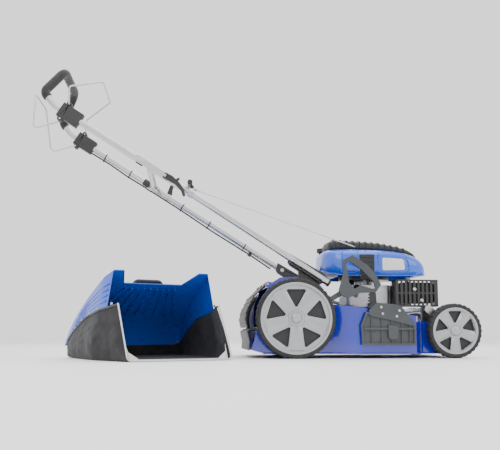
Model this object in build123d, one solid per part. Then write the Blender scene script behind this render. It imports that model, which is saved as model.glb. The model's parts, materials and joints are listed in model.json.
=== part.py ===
"""Push lawn mower: steel deck, petrol engine, four wheels, folding handle and grass bag.

Working frame: +X forwards, +Y to the mower's left, +Z up, in millimetres. The
design values put the ground point under the rear axle at (0, 0, 0). At the end
every node moves so that the origin is the bottom centre of the whole object.
"""

import math
import os

from build123d import *

# ---------------------------------------------------------------- clearances
RUN_FIT = 0.05       # radial play of a shaft or bolt in its hole
SIDE_GAP = 0.5       # play beside a turning or swinging piece
PIN_SLACK = 2.4      # extra radius of the opened link pin's hole
SNUG = 0.02          # radial gap round a fixed clamp or collar
CUT_HALF = 260.0     # half the length of a cutter that crosses the whole mower

# ------------------------------------------------------------------- wheels
REAR_R = 140.0
REAR_WIDTH = 46.0
REAR_OUT = 249.0     # outer face, from the centre line
FRONT_R = 97.0
FRONT_WIDTH = 42.0
FRONT_OUT = 239.0
TYRE_DEPTH = 14.0
REAR_AXLE = (0.0, REAR_R)
FRONT_AXLE = (570.0, FRONT_R)
SPOKES = 5
STUB_R = 6.0
CAP_R = 17.0
CAP_THICK = 3.0
NUT_R = 9.0
NUT_THICK = 7.0
ARM_THICK = 6.0
HUB_GAP = 7.0        # from a swing arm to the wheel's inner face

# --------------------------------------------------------- cutting height gear
REAR_PIVOT = (125.0, 205.0)
FRONT_PIVOT = (490.0, 175.0)
SWING_R = 7.0
REAR_LUG = 30.0
LEVEL_RATIO = (REAR_PIVOT[0] - REAR_AXLE[0]) / (FRONT_AXLE[0] - FRONT_PIVOT[0])
FRONT_LUG = REAR_LUG / LEVEL_RATIO
LUG_Y = 172.0
LINK_THICK = 4.0
LINK_PIN_R = 4.0
BEARING_IN = 140.0   # inner face of the axle blocks

# --------------------------------------------------------------------- deck
WALL = 2.5
DECK_BOTTOM = 16.0
DECK_HALF = 228.0
DECK_REAR_HALF = 184.0
DECK_FRONT_HALF = 180.0
DECK_REAR = -112.0
DECK_FRONT = 612.0
DECK_TOP = 190.0
CRANK_X = 300.0
MOUNT_Z = 186.0      # engine seat
MOUNT_R = 118.0
SIDE_WINDOW = (245.0, 408.0, 52.0, 128.0)    # opening behind the side flap
TUNNEL_HALF = 155.0
HOUSING_HALF = 166.0

# -------------------------------------------------------------------- blade
BLADE_LENGTH = 430.0
BLADE_WIDTH = 50.0
BLADE_THICK = 4.0
BLADE_Z = 45.0
BLADE_BOLT_R = 5.0
BLADE_TURN = 35.0    # degrees from the mower's length at rest
SHAFT_R = 12.5
SHAFT_TOP = 360.0
SHAFT_BOTTOM = 62.0

# ------------------------------------------------------------------- handle
HANDLE_ANGLE = 32.6  # degrees above the ground
HANDLE_FOOT = (106.5, 279.0)
TUBE_R = 12.0
TUBE_BORE = 10.5
TUBE_Y = 185.0
LOCK_S = 119.7       # upper bracket bolt, along the tube from the foot bolt
CROSS_S = 738.0      # cross tube of the lower handle
FOLD_S = 668.0       # fold pivot
UPPER_S = 762.0      # where the upper tube begins
BEND_S = 1136.0      # where the upper tube starts to curve up
TONGUE_THICK = 6.0
BOLT_R = 4.0
GRIP_R = 16.0
BAIL_R = 3.0

# ------------------------------------------------------------------- engine
COWL_HALF = 150.0
COWL_TOP = 402.0
SHROUD_HALF = 100.0
FLYWHEEL_R = 85.0
FLYWHEEL_Z = 300.0
CASE_REAR = 218.0
CASE_FRONT = 385.0
CASE_HALF = 80.0
CASE_TOP = 268.0
CASE_WALL = 14.0
CYLINDER_Y = 8.0
CYLINDER_Z = 228.0
CYLINDER_END = 445.0
HEAD_END = 472.0
FIN_HALF = 56.0
FIN_BOTTOM = 195.0
FIN_TOP = 270.0
TANK_X = 158.0       # filler neck
TANK_Y = 84.0
TANK = ((120.0, -40.0, 308.0), (196.0, 108.0, 372.0))
TANK_WALL = 4.0
NECK_R = 17.0
NECK_TOP = 405.0

# ---------------------------------------------------------------- side flap
FLAP_TILT = 13.2     # degrees that the hinge line drops towards the front
FLAP_HINGE = (275.0, 166.0)
FLAP_HINGE_Y = -240.0
FLAP_PIN_R = 3.0

# ---------------------------------------------------------------- rear flap
REAR_HINGE = (-92.0, 264.0)
REAR_ROD_R = 4.0
REAR_FLAP_HALF = 153.0

# ---------------------------------------------------------------- grass bag
BAG_X = -394.5
BAG_Y = -400.0
BAG_YAW = 25.0
BAG_HALF = 230.0
MOUTH_HALF = 177.0
BAG_WALL = 3.0
BAG_WIRE_R = 3.0
MOUTH_LEAN = 100.0   # how far back the mouth's top sits
MOUTH_HIGH = 180.0
BAG_LEAN = 10.2      # degrees that the bag's sides lean inwards
NOTCH_END = 240.0
LID_PEAK = (157.0, 297.0)
BAG_END = 520.0

CENTRE = (Align.CENTER, Align.CENTER, Align.CENTER)
BASE = (Align.CENTER, Align.CENTER, Align.MIN)


# ------------------------------------------------------------ shape helpers
def block(x0, x1, y0, y1, z0, z1):
    """Box between two corners."""
    middle = ((x0 + x1) / 2, (y0 + y1) / 2, (z0 + z1) / 2)
    return Pos(*middle) * Box(x1 - x0, y1 - y0, z1 - z0, align=CENTRE)


def rod(start, end, radius):
    """Round bar from one point to another."""
    run = Vector(*end) - Vector(*start)
    place = Plane(origin=start, z_dir=run)
    return place * Cylinder(radius, run.length, align=BASE)


def ring(start, end, outer, bore):
    """Tube from one point to another."""
    return rod(start, end, outer) - rod(start, end, bore)


def side_prism(points, y0, y1):
    """Outline of (x, z) points, extruded from y0 to y1."""
    outline = Polyline(*[(x, y0, z) for x, z in points], close=True)
    return extrude(make_face(outline), amount=y1 - y0, dir=(0, 1, 0))


def plan_prism(points, z0, z1, corners=()):
    """Outline of (x, y) points, extruded from z0 to z1.

    Each entry of corners rounds the corners between two x values with a radius.
    """
    face = make_face(Polyline(*[(x, y, z0) for x, y in points], close=True))
    for low, high, radius in corners:
        face = fillet([v for v in face.vertices() if low < v.X < high], radius)
    return extrude(face, amount=z1 - z0, dir=(0, 0, 1))


def inset(points, gap):
    """A closed outline moved inwards; gap is one distance or one for each side."""
    count = len(points)
    gaps = [gap] * count if isinstance(gap, (int, float)) else gap
    area = sum(
        points[i][0] * points[(i + 1) % count][1] - points[(i + 1) % count][0] * points[i][1]
        for i in range(count)
    )
    turn = 1.0 if area > 0 else -1.0
    lines = []
    for i in range(count):
        (ax, ay), (bx, by) = points[i], points[(i + 1) % count]
        length = math.hypot(bx - ax, by - ay)
        nx, ny = -(by - ay) / length * turn, (bx - ax) / length * turn
        lines.append((nx, ny, nx * ax + ny * ay + gaps[i]))
    moved = []
    for i in range(count):
        a, b, c = lines[i - 1]
        d, e, f = lines[i]
        det = a * e - b * d
        moved.append(((c * e - b * f) / det, (a * f - c * d) / det))
    return moved


def pipe(points, radius, bend, bore=0.0):
    """Round tube along straight runs joined by arcs."""
    path = FilletPolyline(*points, radius=bend)
    section = Circle(radius)
    if bore:
        section -= Circle(bore)
    return sweep(Plane(origin=path @ 0, z_dir=path % 0) * section, path=path)


def bar(start, end, half, y0, y1):
    """Flat bar with round ends between two (x, z) points."""
    (ax, az), (bx, bz) = start, end
    length = math.hypot(bx - ax, bz - az)
    nx, nz = -(bz - az) / length * half, (bx - ax) / length * half
    corners = [(ax + nx, az + nz), (bx + nx, bz + nz), (bx - nx, bz - nz), (ax - nx, az - nz)]
    solid = side_prism(corners, y0, y1)
    for x, z in (start, end):
        solid += rod((x, y0, z), (x, y1, z), half)
    return solid


def both_sides(solid):
    """A near-side piece and its mirror image, as separate solids."""
    return group(solid, mirror(solid, about=Plane.XZ))


def group(*pieces):
    """Separate solids kept in one node."""
    solids = []
    for piece in pieces:
        solids += piece.solids()
    return Compound(solids)


def on_handle(s, y, up=0.0):
    """Point at s along the handle from its foot bolt and up above its centre line."""
    angle = math.radians(HANDLE_ANGLE)
    x = HANDLE_FOOT[0] - s * math.cos(angle) + up * math.sin(angle)
    z = HANDLE_FOOT[1] + s * math.sin(angle) + up * math.cos(angle)
    return (x, y, z)


def handle_xz(s, up=0.0):
    x, _, z = on_handle(s, 0, up)
    return (x, z)


def handle_block(s0, s1, up0, up1, y0, y1):
    """Box square to the handle's slope."""
    corners = [handle_xz(s0, up0), handle_xz(s1, up0), handle_xz(s1, up1), handle_xz(s0, up1)]
    return side_prism(corners, y0, y1)


def along(start, end, share):
    """Point part of the way between two points."""
    return tuple(a + (b - a) * share for a, b in zip(start, end))


# --------------------------------------------------------------------- deck
DECK_PROFILE = [
    (DECK_REAR - 20, DECK_BOTTOM),
    (DECK_REAR - 20, DECK_TOP),
    (145, DECK_TOP),
    (440, 148),
    (470, 132),
    (560, 118),
    (DECK_FRONT + 20, 92),
    (DECK_FRONT + 20, DECK_BOTTOM),
]
DECK_HALF_PLAN = [
    (DECK_REAR, DECK_REAR_HALF),
    (118, DECK_REAR_HALF),
    (156, 196),
    (215, DECK_HALF),
    (430, DECK_HALF),
    (462, DECK_FRONT_HALF),
    (548, DECK_FRONT_HALF),
    (DECK_FRONT, 112),
]
DECK_CORNERS = [(600, 700, 50), (500, 580, 40), (450, 470, 16), (200, 230, 30), (-200, 0, 12)]


def deck_top(x):
    """Height of the deck's top skin at x."""
    tops = DECK_PROFILE[1:-1]
    for (ax, az), (bx, bz) in zip(tops, tops[1:]):
        if ax <= x <= bx:
            return az + (bz - az) * (x - ax) / (bx - ax)
    return DECK_TOP


def deck_plan():
    left = DECK_HALF_PLAN
    return left + [(x, -y) for x, y in reversed(left)]


def deck_outer():
    shell = plan_prism(deck_plan(), DECK_BOTTOM, 200, DECK_CORNERS)
    shell &= side_prism(DECK_PROFILE, -CUT_HALF, CUT_HALF)
    return shell + rod((CRANK_X, 0, 140), (CRANK_X, 0, MOUNT_Z), MOUNT_R)


def deck_inner():
    opened = [WALL, WALL, WALL, WALL, WALL, WALL, WALL, -WALL]
    hollow = plan_prism(inset(deck_plan(), WALL), DECK_BOTTOM - 5, 200, DECK_CORNERS)
    hollow &= side_prism(inset(DECK_PROFILE, opened), -CUT_HALF, CUT_HALF)
    return hollow + rod((CRANK_X, 0, 130), (CRANK_X, 0, MOUNT_Z - WALL), MOUNT_R - WALL)


def bolt_spots(radius, angles):
    """Points on a circle round the crankshaft."""
    spots = []
    for angle in map(math.radians, angles):
        spots.append((CRANK_X + radius * math.cos(angle), radius * math.sin(angle)))
    return spots


ENGINE_BOLTS = bolt_spots(95, (90, 180, 270))


def deck():
    """Pressed steel cutter deck with its discharge ramp."""
    shell = deck_outer() - deck_inner()
    shell -= rod((CRANK_X, 0, 160), (CRANK_X, 0, 190), 32)
    shell -= block(DECK_REAR + WALL, 95, -TUNNEL_HALF, TUNNEL_HALF, 180, 200)
    shell -= block(DECK_REAR - 1, DECK_REAR + WALL, -TUNNEL_HALF, TUNNEL_HALF, 113, 200)
    x0, x1, z0, z1 = SIDE_WINDOW
    shell -= block(x0, x1, -DECK_HALF - 5, -DECK_HALF + 8, z0, z1)
    for x, y in ENGINE_BOLTS:
        shell -= rod((x, y, 160), (x, y, 190), BOLT_R + RUN_FIT)
    ramp = [(72, 38), (72, 41), (DECK_REAR + 1, 113), (DECK_REAR + 1, 110)]
    shell += side_prism(ramp, -DECK_REAR_HALF + 1, DECK_REAR_HALF - 1)
    cheek = [(DECK_REAR + 12, 100), (-131, 100), (-152, 29), (DECK_REAR + 12, DECK_BOTTOM)]
    outer = DECK_REAR_HALF - WALL
    for y0 in (-outer - WALL, outer):
        shell += side_prism(cheek, y0, y0 + WALL)
    return shell


def rear_housing():
    """Hood over the discharge tunnel, with ears for the flap rod."""
    outline = [(105, DECK_TOP), (105, 255), (60, 291), (-46, 288), (-78, 268), (-92, 246)]
    outline.append((DECK_REAR, DECK_TOP))
    hood = side_prism(outline, -HOUSING_HALF, HOUSING_HALF)
    opened = [WALL] * 6 + [-WALL]
    inner = side_prism(inset(outline, opened), -HOUSING_HALF + WALL, HOUSING_HALF - WALL)
    hood -= inner
    hood -= block(DECK_REAR - 28, -74, -TUNNEL_HALF, TUNNEL_HALF, DECK_TOP - 5, 258)
    x, z = REAR_HINGE
    ear = [(-76, 248), (-76, 270), (x, z + 9), (x - 8, z + 4), (x - 8, z - 6), (-90, 247)]
    for y0 in (-HOUSING_HALF, HOUSING_HALF - 8):
        hood += side_prism(ear, y0, y0 + 8)
    return hood - rod((x, -CUT_HALF, z), (x, CUT_HALF, z), REAR_ROD_R + RUN_FIT)


def flap_pins():
    """Hinge rod of the rear flap and hinge pin of the side flap."""
    x, z = REAR_HINGE
    rear = rod((x, -HOUSING_HALF - 5, z), (x, HOUSING_HALF + 5, z), REAR_ROD_R)
    return group(rear, rod(on_flap(16), on_flap(98), FLAP_PIN_R))


REAR_KNUCKLES = [(-REAR_FLAP_HALF, -90.0), (-25.0, 25.0), (90.0, REAR_FLAP_HALF)]


def rear_flap():
    """Sprung, bulging door over the rear discharge."""
    x, z = REAR_HINGE
    outer = [(-100.5, 262.8), (-140, 222), (-166, 170), (-171, 136), (-164, 108)]
    inner = [(-160.5, 109), (-167.5, 136), (-162.5, 169), (-137, 219), (-97, 262)]
    plate = side_prism(outer + inner, -REAR_FLAP_HALF, REAR_FLAP_HALF)
    for (_, y0), (y1, _) in zip(REAR_KNUCKLES, REAR_KNUCKLES[1:]):
        plate -= block(x - 18, x + 2, y0 + 1, y1 - 1, z - 14, z + 16)
    for y0, y1 in REAR_KNUCKLES:
        plate += rod((x, y0, z), (x, y1, z), 8)
    return plate - rod((x, -CUT_HALF, z), (x, CUT_HALF, z), REAR_ROD_R + RUN_FIT)


def rear_skirt():
    """Trailing shield below the discharge."""
    half = DECK_REAR_HALF - 12
    outline = [(DECK_REAR, 98), (DECK_REAR, 103), (-152, 106), (-166, 96), (-158, 60), (-160, 28),
               (-156, 27), (-154, 60), (-161, 94), (-150, 101)]
    return side_prism(outline, -half, half)


def flap_springs():
    """Return springs, as sleeves of their outer size, on both flap pins."""
    x, z = REAR_HINGE
    rear = [ring((x, y0, z), (x, y0 + 34, z), REAR_ROD_R + 2.4, REAR_ROD_R + 0.4)
            for y0 in (-76.0, 42.0)]
    side = ring(on_flap(47), on_flap(67), FLAP_PIN_R + 2.2, FLAP_PIN_R + 0.4)
    return group(side, *rear)


# ---------------------------------------------------------------- side flap
def on_flap(u, y=FLAP_HINGE_Y, up=0.0):
    """Point at u along the side flap's hinge line."""
    angle = math.radians(FLAP_TILT)
    x = FLAP_HINGE[0] + u * math.cos(angle) + up * math.sin(angle)
    z = FLAP_HINGE[1] - u * math.sin(angle) + up * math.cos(angle)
    return (x, y, z)


BRACKET_EYES = [(20.0, 31.0), (83.0, 94.0)]
FLAP_EYES = [(32.0, 46.0), (68.0, 82.0)]
FLAP_EYE_R = 6.5
BRACKET_FACE = -232.0


def side_flap_bracket():
    """Plate bolted to the deck that carries the side flap."""
    x0, _, z0 = on_flap(-24, up=8)
    x1, _, z1 = on_flap(123, up=8)
    plate = side_prism([(275, 194), (378, 177), (396, 152), (x1, z1), (x0, z0)],
                       BRACKET_FACE - 4, BRACKET_FACE)
    foot = [(268, deck_top(268)), (388, deck_top(388)), (388, deck_top(388) + 4)]
    foot.append((268, deck_top(268) + 4))
    plate += side_prism(foot, BRACKET_FACE - 4, -206)
    for u0, u1 in BRACKET_EYES:
        eye = rod(on_flap(u0), on_flap(u1), FLAP_EYE_R)
        a, b = on_flap(u0, up=0), on_flap(u1, up=0)
        c, d = on_flap(u1, up=11), on_flap(u0, up=11)
        web = side_prism([(p[0], p[2]) for p in (a, b, c, d)], FLAP_HINGE_Y, BRACKET_FACE)
        plate += eye + web
    return plate - rod(on_flap(0), on_flap(110), FLAP_PIN_R)


def side_flap():
    """Ribbed door over the side discharge."""
    x0, _, z0 = on_flap(-28, up=-9)
    x1, _, z1 = on_flap(137, up=-9)
    outline = [(x0, z0), (226, 117), (230, 47), (421, 47), (423, 107), (x1, z1)]
    back = FLAP_HINGE_Y + 2
    front = FLAP_HINGE_Y - 3
    plate = side_prism(outline, front, back)
    border = side_prism(outline, front - 6, front)
    plate += border - side_prism(inset(outline, 7), front - 7, front)
    ribs = side_prism([(226, 101), (423, 101), (423, 107), (226, 107)], front - 5, front)
    for x in (262, 298, 334, 370, 398):
        ribs += block(x, x + 4, front - 5, front, 50, 160)
    plate += ribs & side_prism(inset(outline, 6), front - 5, front)
    for u0, u1 in FLAP_EYES:
        plate += rod(on_flap(u0), on_flap(u1), FLAP_EYE_R)
        a, b = on_flap(u0, up=-12), on_flap(u1, up=-12)
        c, d = on_flap(u1), on_flap(u0)
        plate += side_prism([(p[0], p[2]) for p in (a, b, c, d)], front, back)
    return plate - rod(on_flap(0), on_flap(110), FLAP_PIN_R + RUN_FIT)


# ------------------------------------------------------------------- wheels
def spoke_window(size, inner, outer):
    """Gap between two spokes, for the spoke wheel's outer radius size."""
    k = size / REAR_R
    points = [(-30, 101), (30, 101), (37, 92), (7, 40), (-7, 40), (-37, 92)]
    scaled = [(x * k, z * k) for x, z in points]
    return side_prism(scaled, inner, outer)


def rim(axle, radius, width, out, sign, backed):
    """Spoked rim with its hub cap; backed adds the drive cover behind the spokes."""
    x, z = axle
    inner = out - width
    edge = radius - TYRE_DEPTH
    barrel = ring((0, inner + 2, 0), (0, out - 2, 0), edge, edge - 9)
    web = rod((0, out - 14, 0), (0, out - 6, 0), edge - 8)
    for i in range(SPOKES):
        web -= Rot(0, 360 / SPOKES * i, 0) * spoke_window(radius, out - 20, out)
    hub = rod((0, inner, 0), (0, out - CAP_THICK, 0), CAP_R + 5)
    wheel = barrel + web + hub
    wheel -= rod((0, inner - 1, 0), (0, out, 0), STUB_R + RUN_FIT)
    wheel -= rod((0, out - CAP_THICK - 13, 0), (0, out, 0), NUT_R + 3)
    cap = rod((0, out - CAP_THICK, 0), (0, out, 0), CAP_R)
    pieces = [wheel, cap]
    if backed:
        pieces.append(ring((0, out - 22, 0), (0, out - 20, 0), edge - 9, CAP_R + 5))
    return place_wheel(group(*pieces), x, z, sign)


def place_wheel(solid, x, z, sign):
    if sign < 0:
        solid = mirror(solid, about=Plane.XZ)
    return Pos(x, 0, z) * solid


def tyre(axle, radius, width, out, sign):
    x, z = axle
    edge = radius - TYRE_DEPTH
    band = rod((0, out - width, 0), (0, out, 0), radius)
    band = fillet(band.edges().filter_by(GeomType.CIRCLE), 6)
    band -= rod((0, out - width - 1, 0), (0, out + 1, 0), edge)
    return place_wheel(band, x, z, sign)


def swing_axle(pivot, axle, out, width):
    """Cross rod, two arms and two stub axles in one weldment."""
    px, pz = pivot
    ax, az = axle
    arm_out = out - width - HUB_GAP
    solid = rod((px, -arm_out, pz), (px, arm_out, pz), SWING_R)
    for sign in (-1, 1):
        y0, y1 = sorted((sign * (arm_out - ARM_THICK), sign * arm_out))
        solid += bar(pivot, axle, 14, y0, y1)
        end = out - 9
        solid += rod((ax, sign * arm_out, az), (ax, sign * end, az), STUB_R)
        collar = out - width - SIDE_GAP
        solid += rod((ax, sign * arm_out, az), (ax, sign * collar, az), 10)
        nut = out - CAP_THICK - 12
        solid += rod((ax, sign * nut, az), (ax, sign * (nut + NUT_THICK), az), NUT_R)
    return solid


def rear_axle():
    """Rear swing axle with its upward link lug."""
    px, pz = REAR_PIVOT
    solid = swing_axle(REAR_PIVOT, REAR_AXLE, REAR_OUT, REAR_WIDTH)
    solid += bar(REAR_PIVOT, (px, pz + REAR_LUG), 9, LUG_Y, LUG_Y + LINK_THICK)
    hole = rod((px, LUG_Y - 12, pz + REAR_LUG), (px, LUG_Y + 8, pz + REAR_LUG), LINK_PIN_R + RUN_FIT)
    return solid - hole


def front_axle():
    """Front swing axle with its downward link lug."""
    px, pz = FRONT_PIVOT
    solid = swing_axle(FRONT_PIVOT, FRONT_AXLE, FRONT_OUT, FRONT_WIDTH)
    solid += bar(FRONT_PIVOT, (px, pz - FRONT_LUG), 10, LUG_Y, LUG_Y + LINK_THICK)
    hole_r = LINK_PIN_R + PIN_SLACK
    return solid - rod((px, LUG_Y - 12, pz - FRONT_LUG), (px, LUG_Y + 8, pz - FRONT_LUG), hole_r)


def height_link():
    """Rod that makes both axles swing together."""
    start = (REAR_PIVOT[0], REAR_PIVOT[1] + REAR_LUG)
    end = (FRONT_PIVOT[0], FRONT_PIVOT[1] - FRONT_LUG)
    y0 = LUG_Y + LINK_THICK + SIDE_GAP
    solid = bar(start, end, 7, y0, y0 + LINK_THICK)
    for x, z in (start, end):
        solid += rod((x, LUG_Y - 2, z), (x, y0, z), LINK_PIN_R)
    return solid


def axle_bearings():
    """Blocks on the deck that hold both swing axles."""
    blocks = []
    for sign in (-1, 1):
        y0, y1 = sorted((sign * BEARING_IN, sign * (BEARING_IN + 18)))
        px, pz = REAR_PIVOT
        rear = block(px - 14, px + 14, y0, y1, DECK_TOP, pz + 12)
        blocks.append(rear - rod((px, -CUT_HALF, pz), (px, CUT_HALF, pz), SWING_R + RUN_FIT))
        px, pz = FRONT_PIVOT
        foot = [(px - 14, deck_top(px - 14)), (px + 14, deck_top(px + 14))]
        front = side_prism(foot + [(px + 14, pz + 12), (px - 14, pz + 12)], y0, y1)
        blocks.append(front - rod((px, -CUT_HALF, pz), (px, CUT_HALF, pz), SWING_R + RUN_FIT))
    return group(*blocks)


LEVER_OUTER = [(207, 366), (171, 346), (176, 305), (157, 238), (165, 223), (188, 212),
               (236, 231), (290, 233), (310, 261), (286, 304), (261, 331)]
LEVER_INNER = [(183, 333), (194, 345), (238, 316), (281, 273), (290, 248), (277, 246),
               (237, 258), (214, 245), (194, 268), (189, 306)]


def height_lever():
    """Loop lever, fixed to the end of the rear swing axle."""
    arm_out = REAR_OUT - REAR_WIDTH - HUB_GAP
    loop_in = arm_out + ARM_THICK
    loop = side_prism(LEVER_OUTER, -loop_in - 12, -loop_in)
    loop -= side_prism(LEVER_INNER, -loop_in - 13, -loop_in + 1)
    arm = bar(REAR_PIVOT, (176, 236), 9, -loop_in, -arm_out)
    neck = bar((162, 229), (176, 236), 8, -loop_in - 6, -arm_out)
    return loop + arm + neck


def height_quadrant():
    """Notched catch plate beside the lever."""
    lever_in = REAR_OUT - REAR_WIDTH - HUB_GAP + ARM_THICK
    outline = [(262, deck_top(262)), (298, deck_top(298)), (294, 232), (268, 240)]
    plate = side_prism(outline, -lever_in + 2, -lever_in + 6)
    for z in (196, 207, 218, 229):
        plate -= block(262, 271, -lever_in + 1, -lever_in + 7, z, z + 4)
    return plate


# ------------------------------------------------------------------- handle
CAM_BARREL_R = 8.5
CAM_PIN_R = 2.0
CAM_SLOT = 4.9       # half the slot that takes the fold bolt's eye
CAM_Y = TUBE_Y + TUBE_R + SIDE_GAP * 3 + TONGUE_THICK + CAM_BARREL_R
CAM_RISE = {-1: HANDLE_ANGLE, 1: -80.0}    # slope of each side's lever


def cam_pin(sign, rise, half, radius):
    """Bar along the pivot of one side's clamp lever."""
    angle = math.radians(rise)
    x, y, z = on_handle(FOLD_S, sign * CAM_Y)
    dx, dz = half * math.sin(angle), half * math.cos(angle)
    return rod((x - dx, y, z - dz), (x + dx, y, z + dz), radius)


def cross_hole(s, radius=BOLT_R + RUN_FIT):
    return rod(on_handle(s, -CUT_HALF), on_handle(s, CUT_HALF), radius)


def lower_handle():
    """U-shaped lower tube."""
    points = [on_handle(-22, -TUBE_Y), on_handle(CROSS_S, -TUBE_Y)]
    points += [on_handle(CROSS_S, TUBE_Y), on_handle(-22, TUBE_Y)]
    tube = pipe(points, TUBE_R, 45, TUBE_BORE)
    for s in (0, LOCK_S, FOLD_S):
        tube -= cross_hole(s)
    return tube


def handle_brackets():
    """Plates that bolt the lower tube to the discharge hood."""
    inner, outer = -HOUSING_HALF, -HOUSING_HALF - 4
    shape = [(141, -16), (128, -22), (0, -22), (-18, 13), (3, 23), (151, 16)]
    plate = side_prism([handle_xz(s, up) for s, up in shape], outer, inner)
    plate += side_prism([(18, 215), (84, 215), (84, 300), (18, 325)], outer, inner)
    plate += handle_block(2, 136, -16, -TUBE_R - 0.3, -TUBE_Y - TUBE_R, outer)
    for s in (0, LOCK_S):
        plate -= cross_hole(s)
    return both_sides(plate)


def handle_bolts():
    """Bolts, spacers and nuts at the brackets and at the fold."""
    tube_out, tube_in = TUBE_Y + TUBE_R, TUBE_Y - TUBE_R
    plate_out, plate_in = HOUSING_HALF + 4, HOUSING_HALF
    pieces = []
    for s in (0, LOCK_S):
        bolt = rod(on_handle(s, -tube_out - 2), on_handle(s, -plate_in), BOLT_R)
        bolt += rod(on_handle(s, -tube_out - 6), on_handle(s, -tube_out), 8)
        bolt += rod(on_handle(s, -tube_in + 0.4), on_handle(s, -plate_out), 7)
        bolt += rod(on_handle(s, -plate_in), on_handle(s, -plate_in + 5), 7.5)
        pieces.append(bolt)
    pieces += [mirror(piece, about=Plane.XZ) for piece in pieces]
    for sign, rise in CAM_RISE.items():
        cam = rod(on_handle(FOLD_S, sign * CAM_Y), on_handle(FOLD_S, sign * (tube_in - 6)), BOLT_R)
        cam += rod(on_handle(FOLD_S, sign * tube_in), on_handle(FOLD_S, sign * (tube_in - 6)), 7.5)
        cam += cam_pin(sign, rise, CAM_SLOT - 0.4, 5)
        pieces.append(cam - cam_pin(sign, rise, CAM_SLOT, CAM_PIN_R + RUN_FIT))
    return group(*pieces)


GRIP_END = (-890.0, 185.0, 939.0)
GRIP_CORNER = (-830.0, 120.0, 1040.0)


def arch_points(first):
    """Route of the handle's top from the near side to the far side."""
    near = [(x, -y, z) for x, y, z in (first, GRIP_END, GRIP_CORNER)]
    far = [GRIP_CORNER, GRIP_END, first]
    return near, far


def upper_handle():
    """Upper tube with its crushed ends, which turn on the fold bolts."""
    near, far = arch_points(on_handle(BEND_S, TUBE_Y))
    points = [on_handle(UPPER_S, -TUBE_Y)] + near + far + [on_handle(UPPER_S, TUBE_Y)]
    tube = pipe(points, TUBE_R, [60, 26, 55, 55, 26, 60], TUBE_BORE)
    face = TUBE_Y + TUBE_R + SIDE_GAP
    ends = bar(handle_xz(FOLD_S - 7), handle_xz(UPPER_S + 28), 11, -face - TONGUE_THICK, -face)
    ends += handle_block(UPPER_S + 6, UPPER_S + 36, -9, 9, -face - 1, -TUBE_Y - 6)
    for part in (ends, mirror(ends, about=Plane.XZ)):
        tube += part
    return tube - cross_hole(FOLD_S)


def handle_grip():
    """Foam sleeve over the arch and the crossbar."""
    start = along(on_handle(BEND_S, TUBE_Y), GRIP_END, 0.62)
    near, far = arch_points(start)
    return pipe(near + far, GRIP_R, [26, 55, 55, 26], TUBE_R + RUN_FIT)


DRIVE_PIVOT = (1093.7, -31.0)
STOP_PIVOT = (1092.3, 29.0)
CONSOLE_HALF = 27.0


def consoles():
    """Clamp blocks that carry both bails."""
    y0, y1 = -TUBE_Y - TUBE_R - 1, -TUBE_Y + TUBE_R + 1
    s0, s1 = DRIVE_PIVOT[0] - 63.7, DRIVE_PIVOT[0] + 18.3
    body = handle_block(s0, s1, -CONSOLE_HALF, CONSOLE_HALF, y0, y1)
    for s, up in (DRIVE_PIVOT, STOP_PIVOT):
        body += rod(on_handle(s, y0, up), on_handle(s, y1, up), 9)
    body -= rod(on_handle(s0 - 1, -TUBE_Y), on_handle(s1 + 1, -TUBE_Y), TUBE_R + SNUG)
    for s, up in (DRIVE_PIVOT, STOP_PIVOT):
        body -= rod(on_handle(s, y0 - 1, up), on_handle(s, y1 + 1, up), BAIL_R + RUN_FIT)
    return both_sides(body)


def drive_bail():
    """Wire bail behind the grip."""
    x, _, z = on_handle(DRIVE_PIVOT[0], 0, DRIVE_PIVOT[1])
    inside = TUBE_Y - 20
    half = [(x, TUBE_Y + 11, z), (x, inside, z), (-928, inside, 812), (-937, 95, 962)]
    near = [(px, -py, pz) for px, py, pz in half]
    return pipe(near + half[::-1], BAIL_R, [5, 16, 16, 16, 16, 5])


def stop_bail():
    """Wire bail in front of the grip."""
    x, _, z = on_handle(STOP_PIVOT[0], 0, STOP_PIVOT[1])
    outside = TUBE_Y + 20
    half = [(x, TUBE_Y - 11, z), (x, outside, z), (-799, outside, 956), (-692, 117, 1007)]
    near = [(px, -py, pz) for px, py, pz in half]
    return pipe(near + half[::-1], BAIL_R, [5, 16, 16, 16, 16, 5])


def cam_lever(sign, rise):
    """Curved clamp lever, pinned to the eye of the fold bolt."""
    x, z = handle_xz(FOLD_S)
    barrel = rod((0, CAM_Y, -10), (0, CAM_Y, 10), CAM_BARREL_R)
    barrel += side_prism([(0, 10), (20, 12), (52, 6), (80, -6), (96, -22), (90, -29),
                          (72, -15), (44, -8), (10, -10), (0, -10)], CAM_Y - 3, CAM_Y + 7)
    barrel -= block(-12, 0, CAM_Y - 12, CAM_Y + 12, -CAM_SLOT, CAM_SLOT)
    barrel -= block(-1, 4.5, CAM_Y - 12, CAM_Y, -CAM_SLOT, CAM_SLOT)
    barrel -= rod((0, CAM_Y, -CAM_SLOT), (0, CAM_Y, CAM_SLOT), 5.3)
    barrel += rod((0, CAM_Y, -10), (0, CAM_Y, 10), CAM_PIN_R)
    solid = Pos(x, 0, z) * (Rot(0, rise, 0) * barrel)
    if sign < 0:
        solid = mirror(solid, about=Plane.XZ)
    return solid


ROPE_EYE_S = 561.5
ROPE_EYE_UP = 25.0
ROPE_EYE_Y = -160.0
ROPE_R = 2.0
ROPE_EXIT = (250.0, -SHROUD_HALF, 407.0)
PULL_RISE = 20.0     # degrees that the pull lifts above the handle's slope


def pull_direction():
    angle = math.radians(180 - HANDLE_ANGLE - PULL_RISE)
    return (math.cos(angle), 0.0, math.sin(angle))


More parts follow.
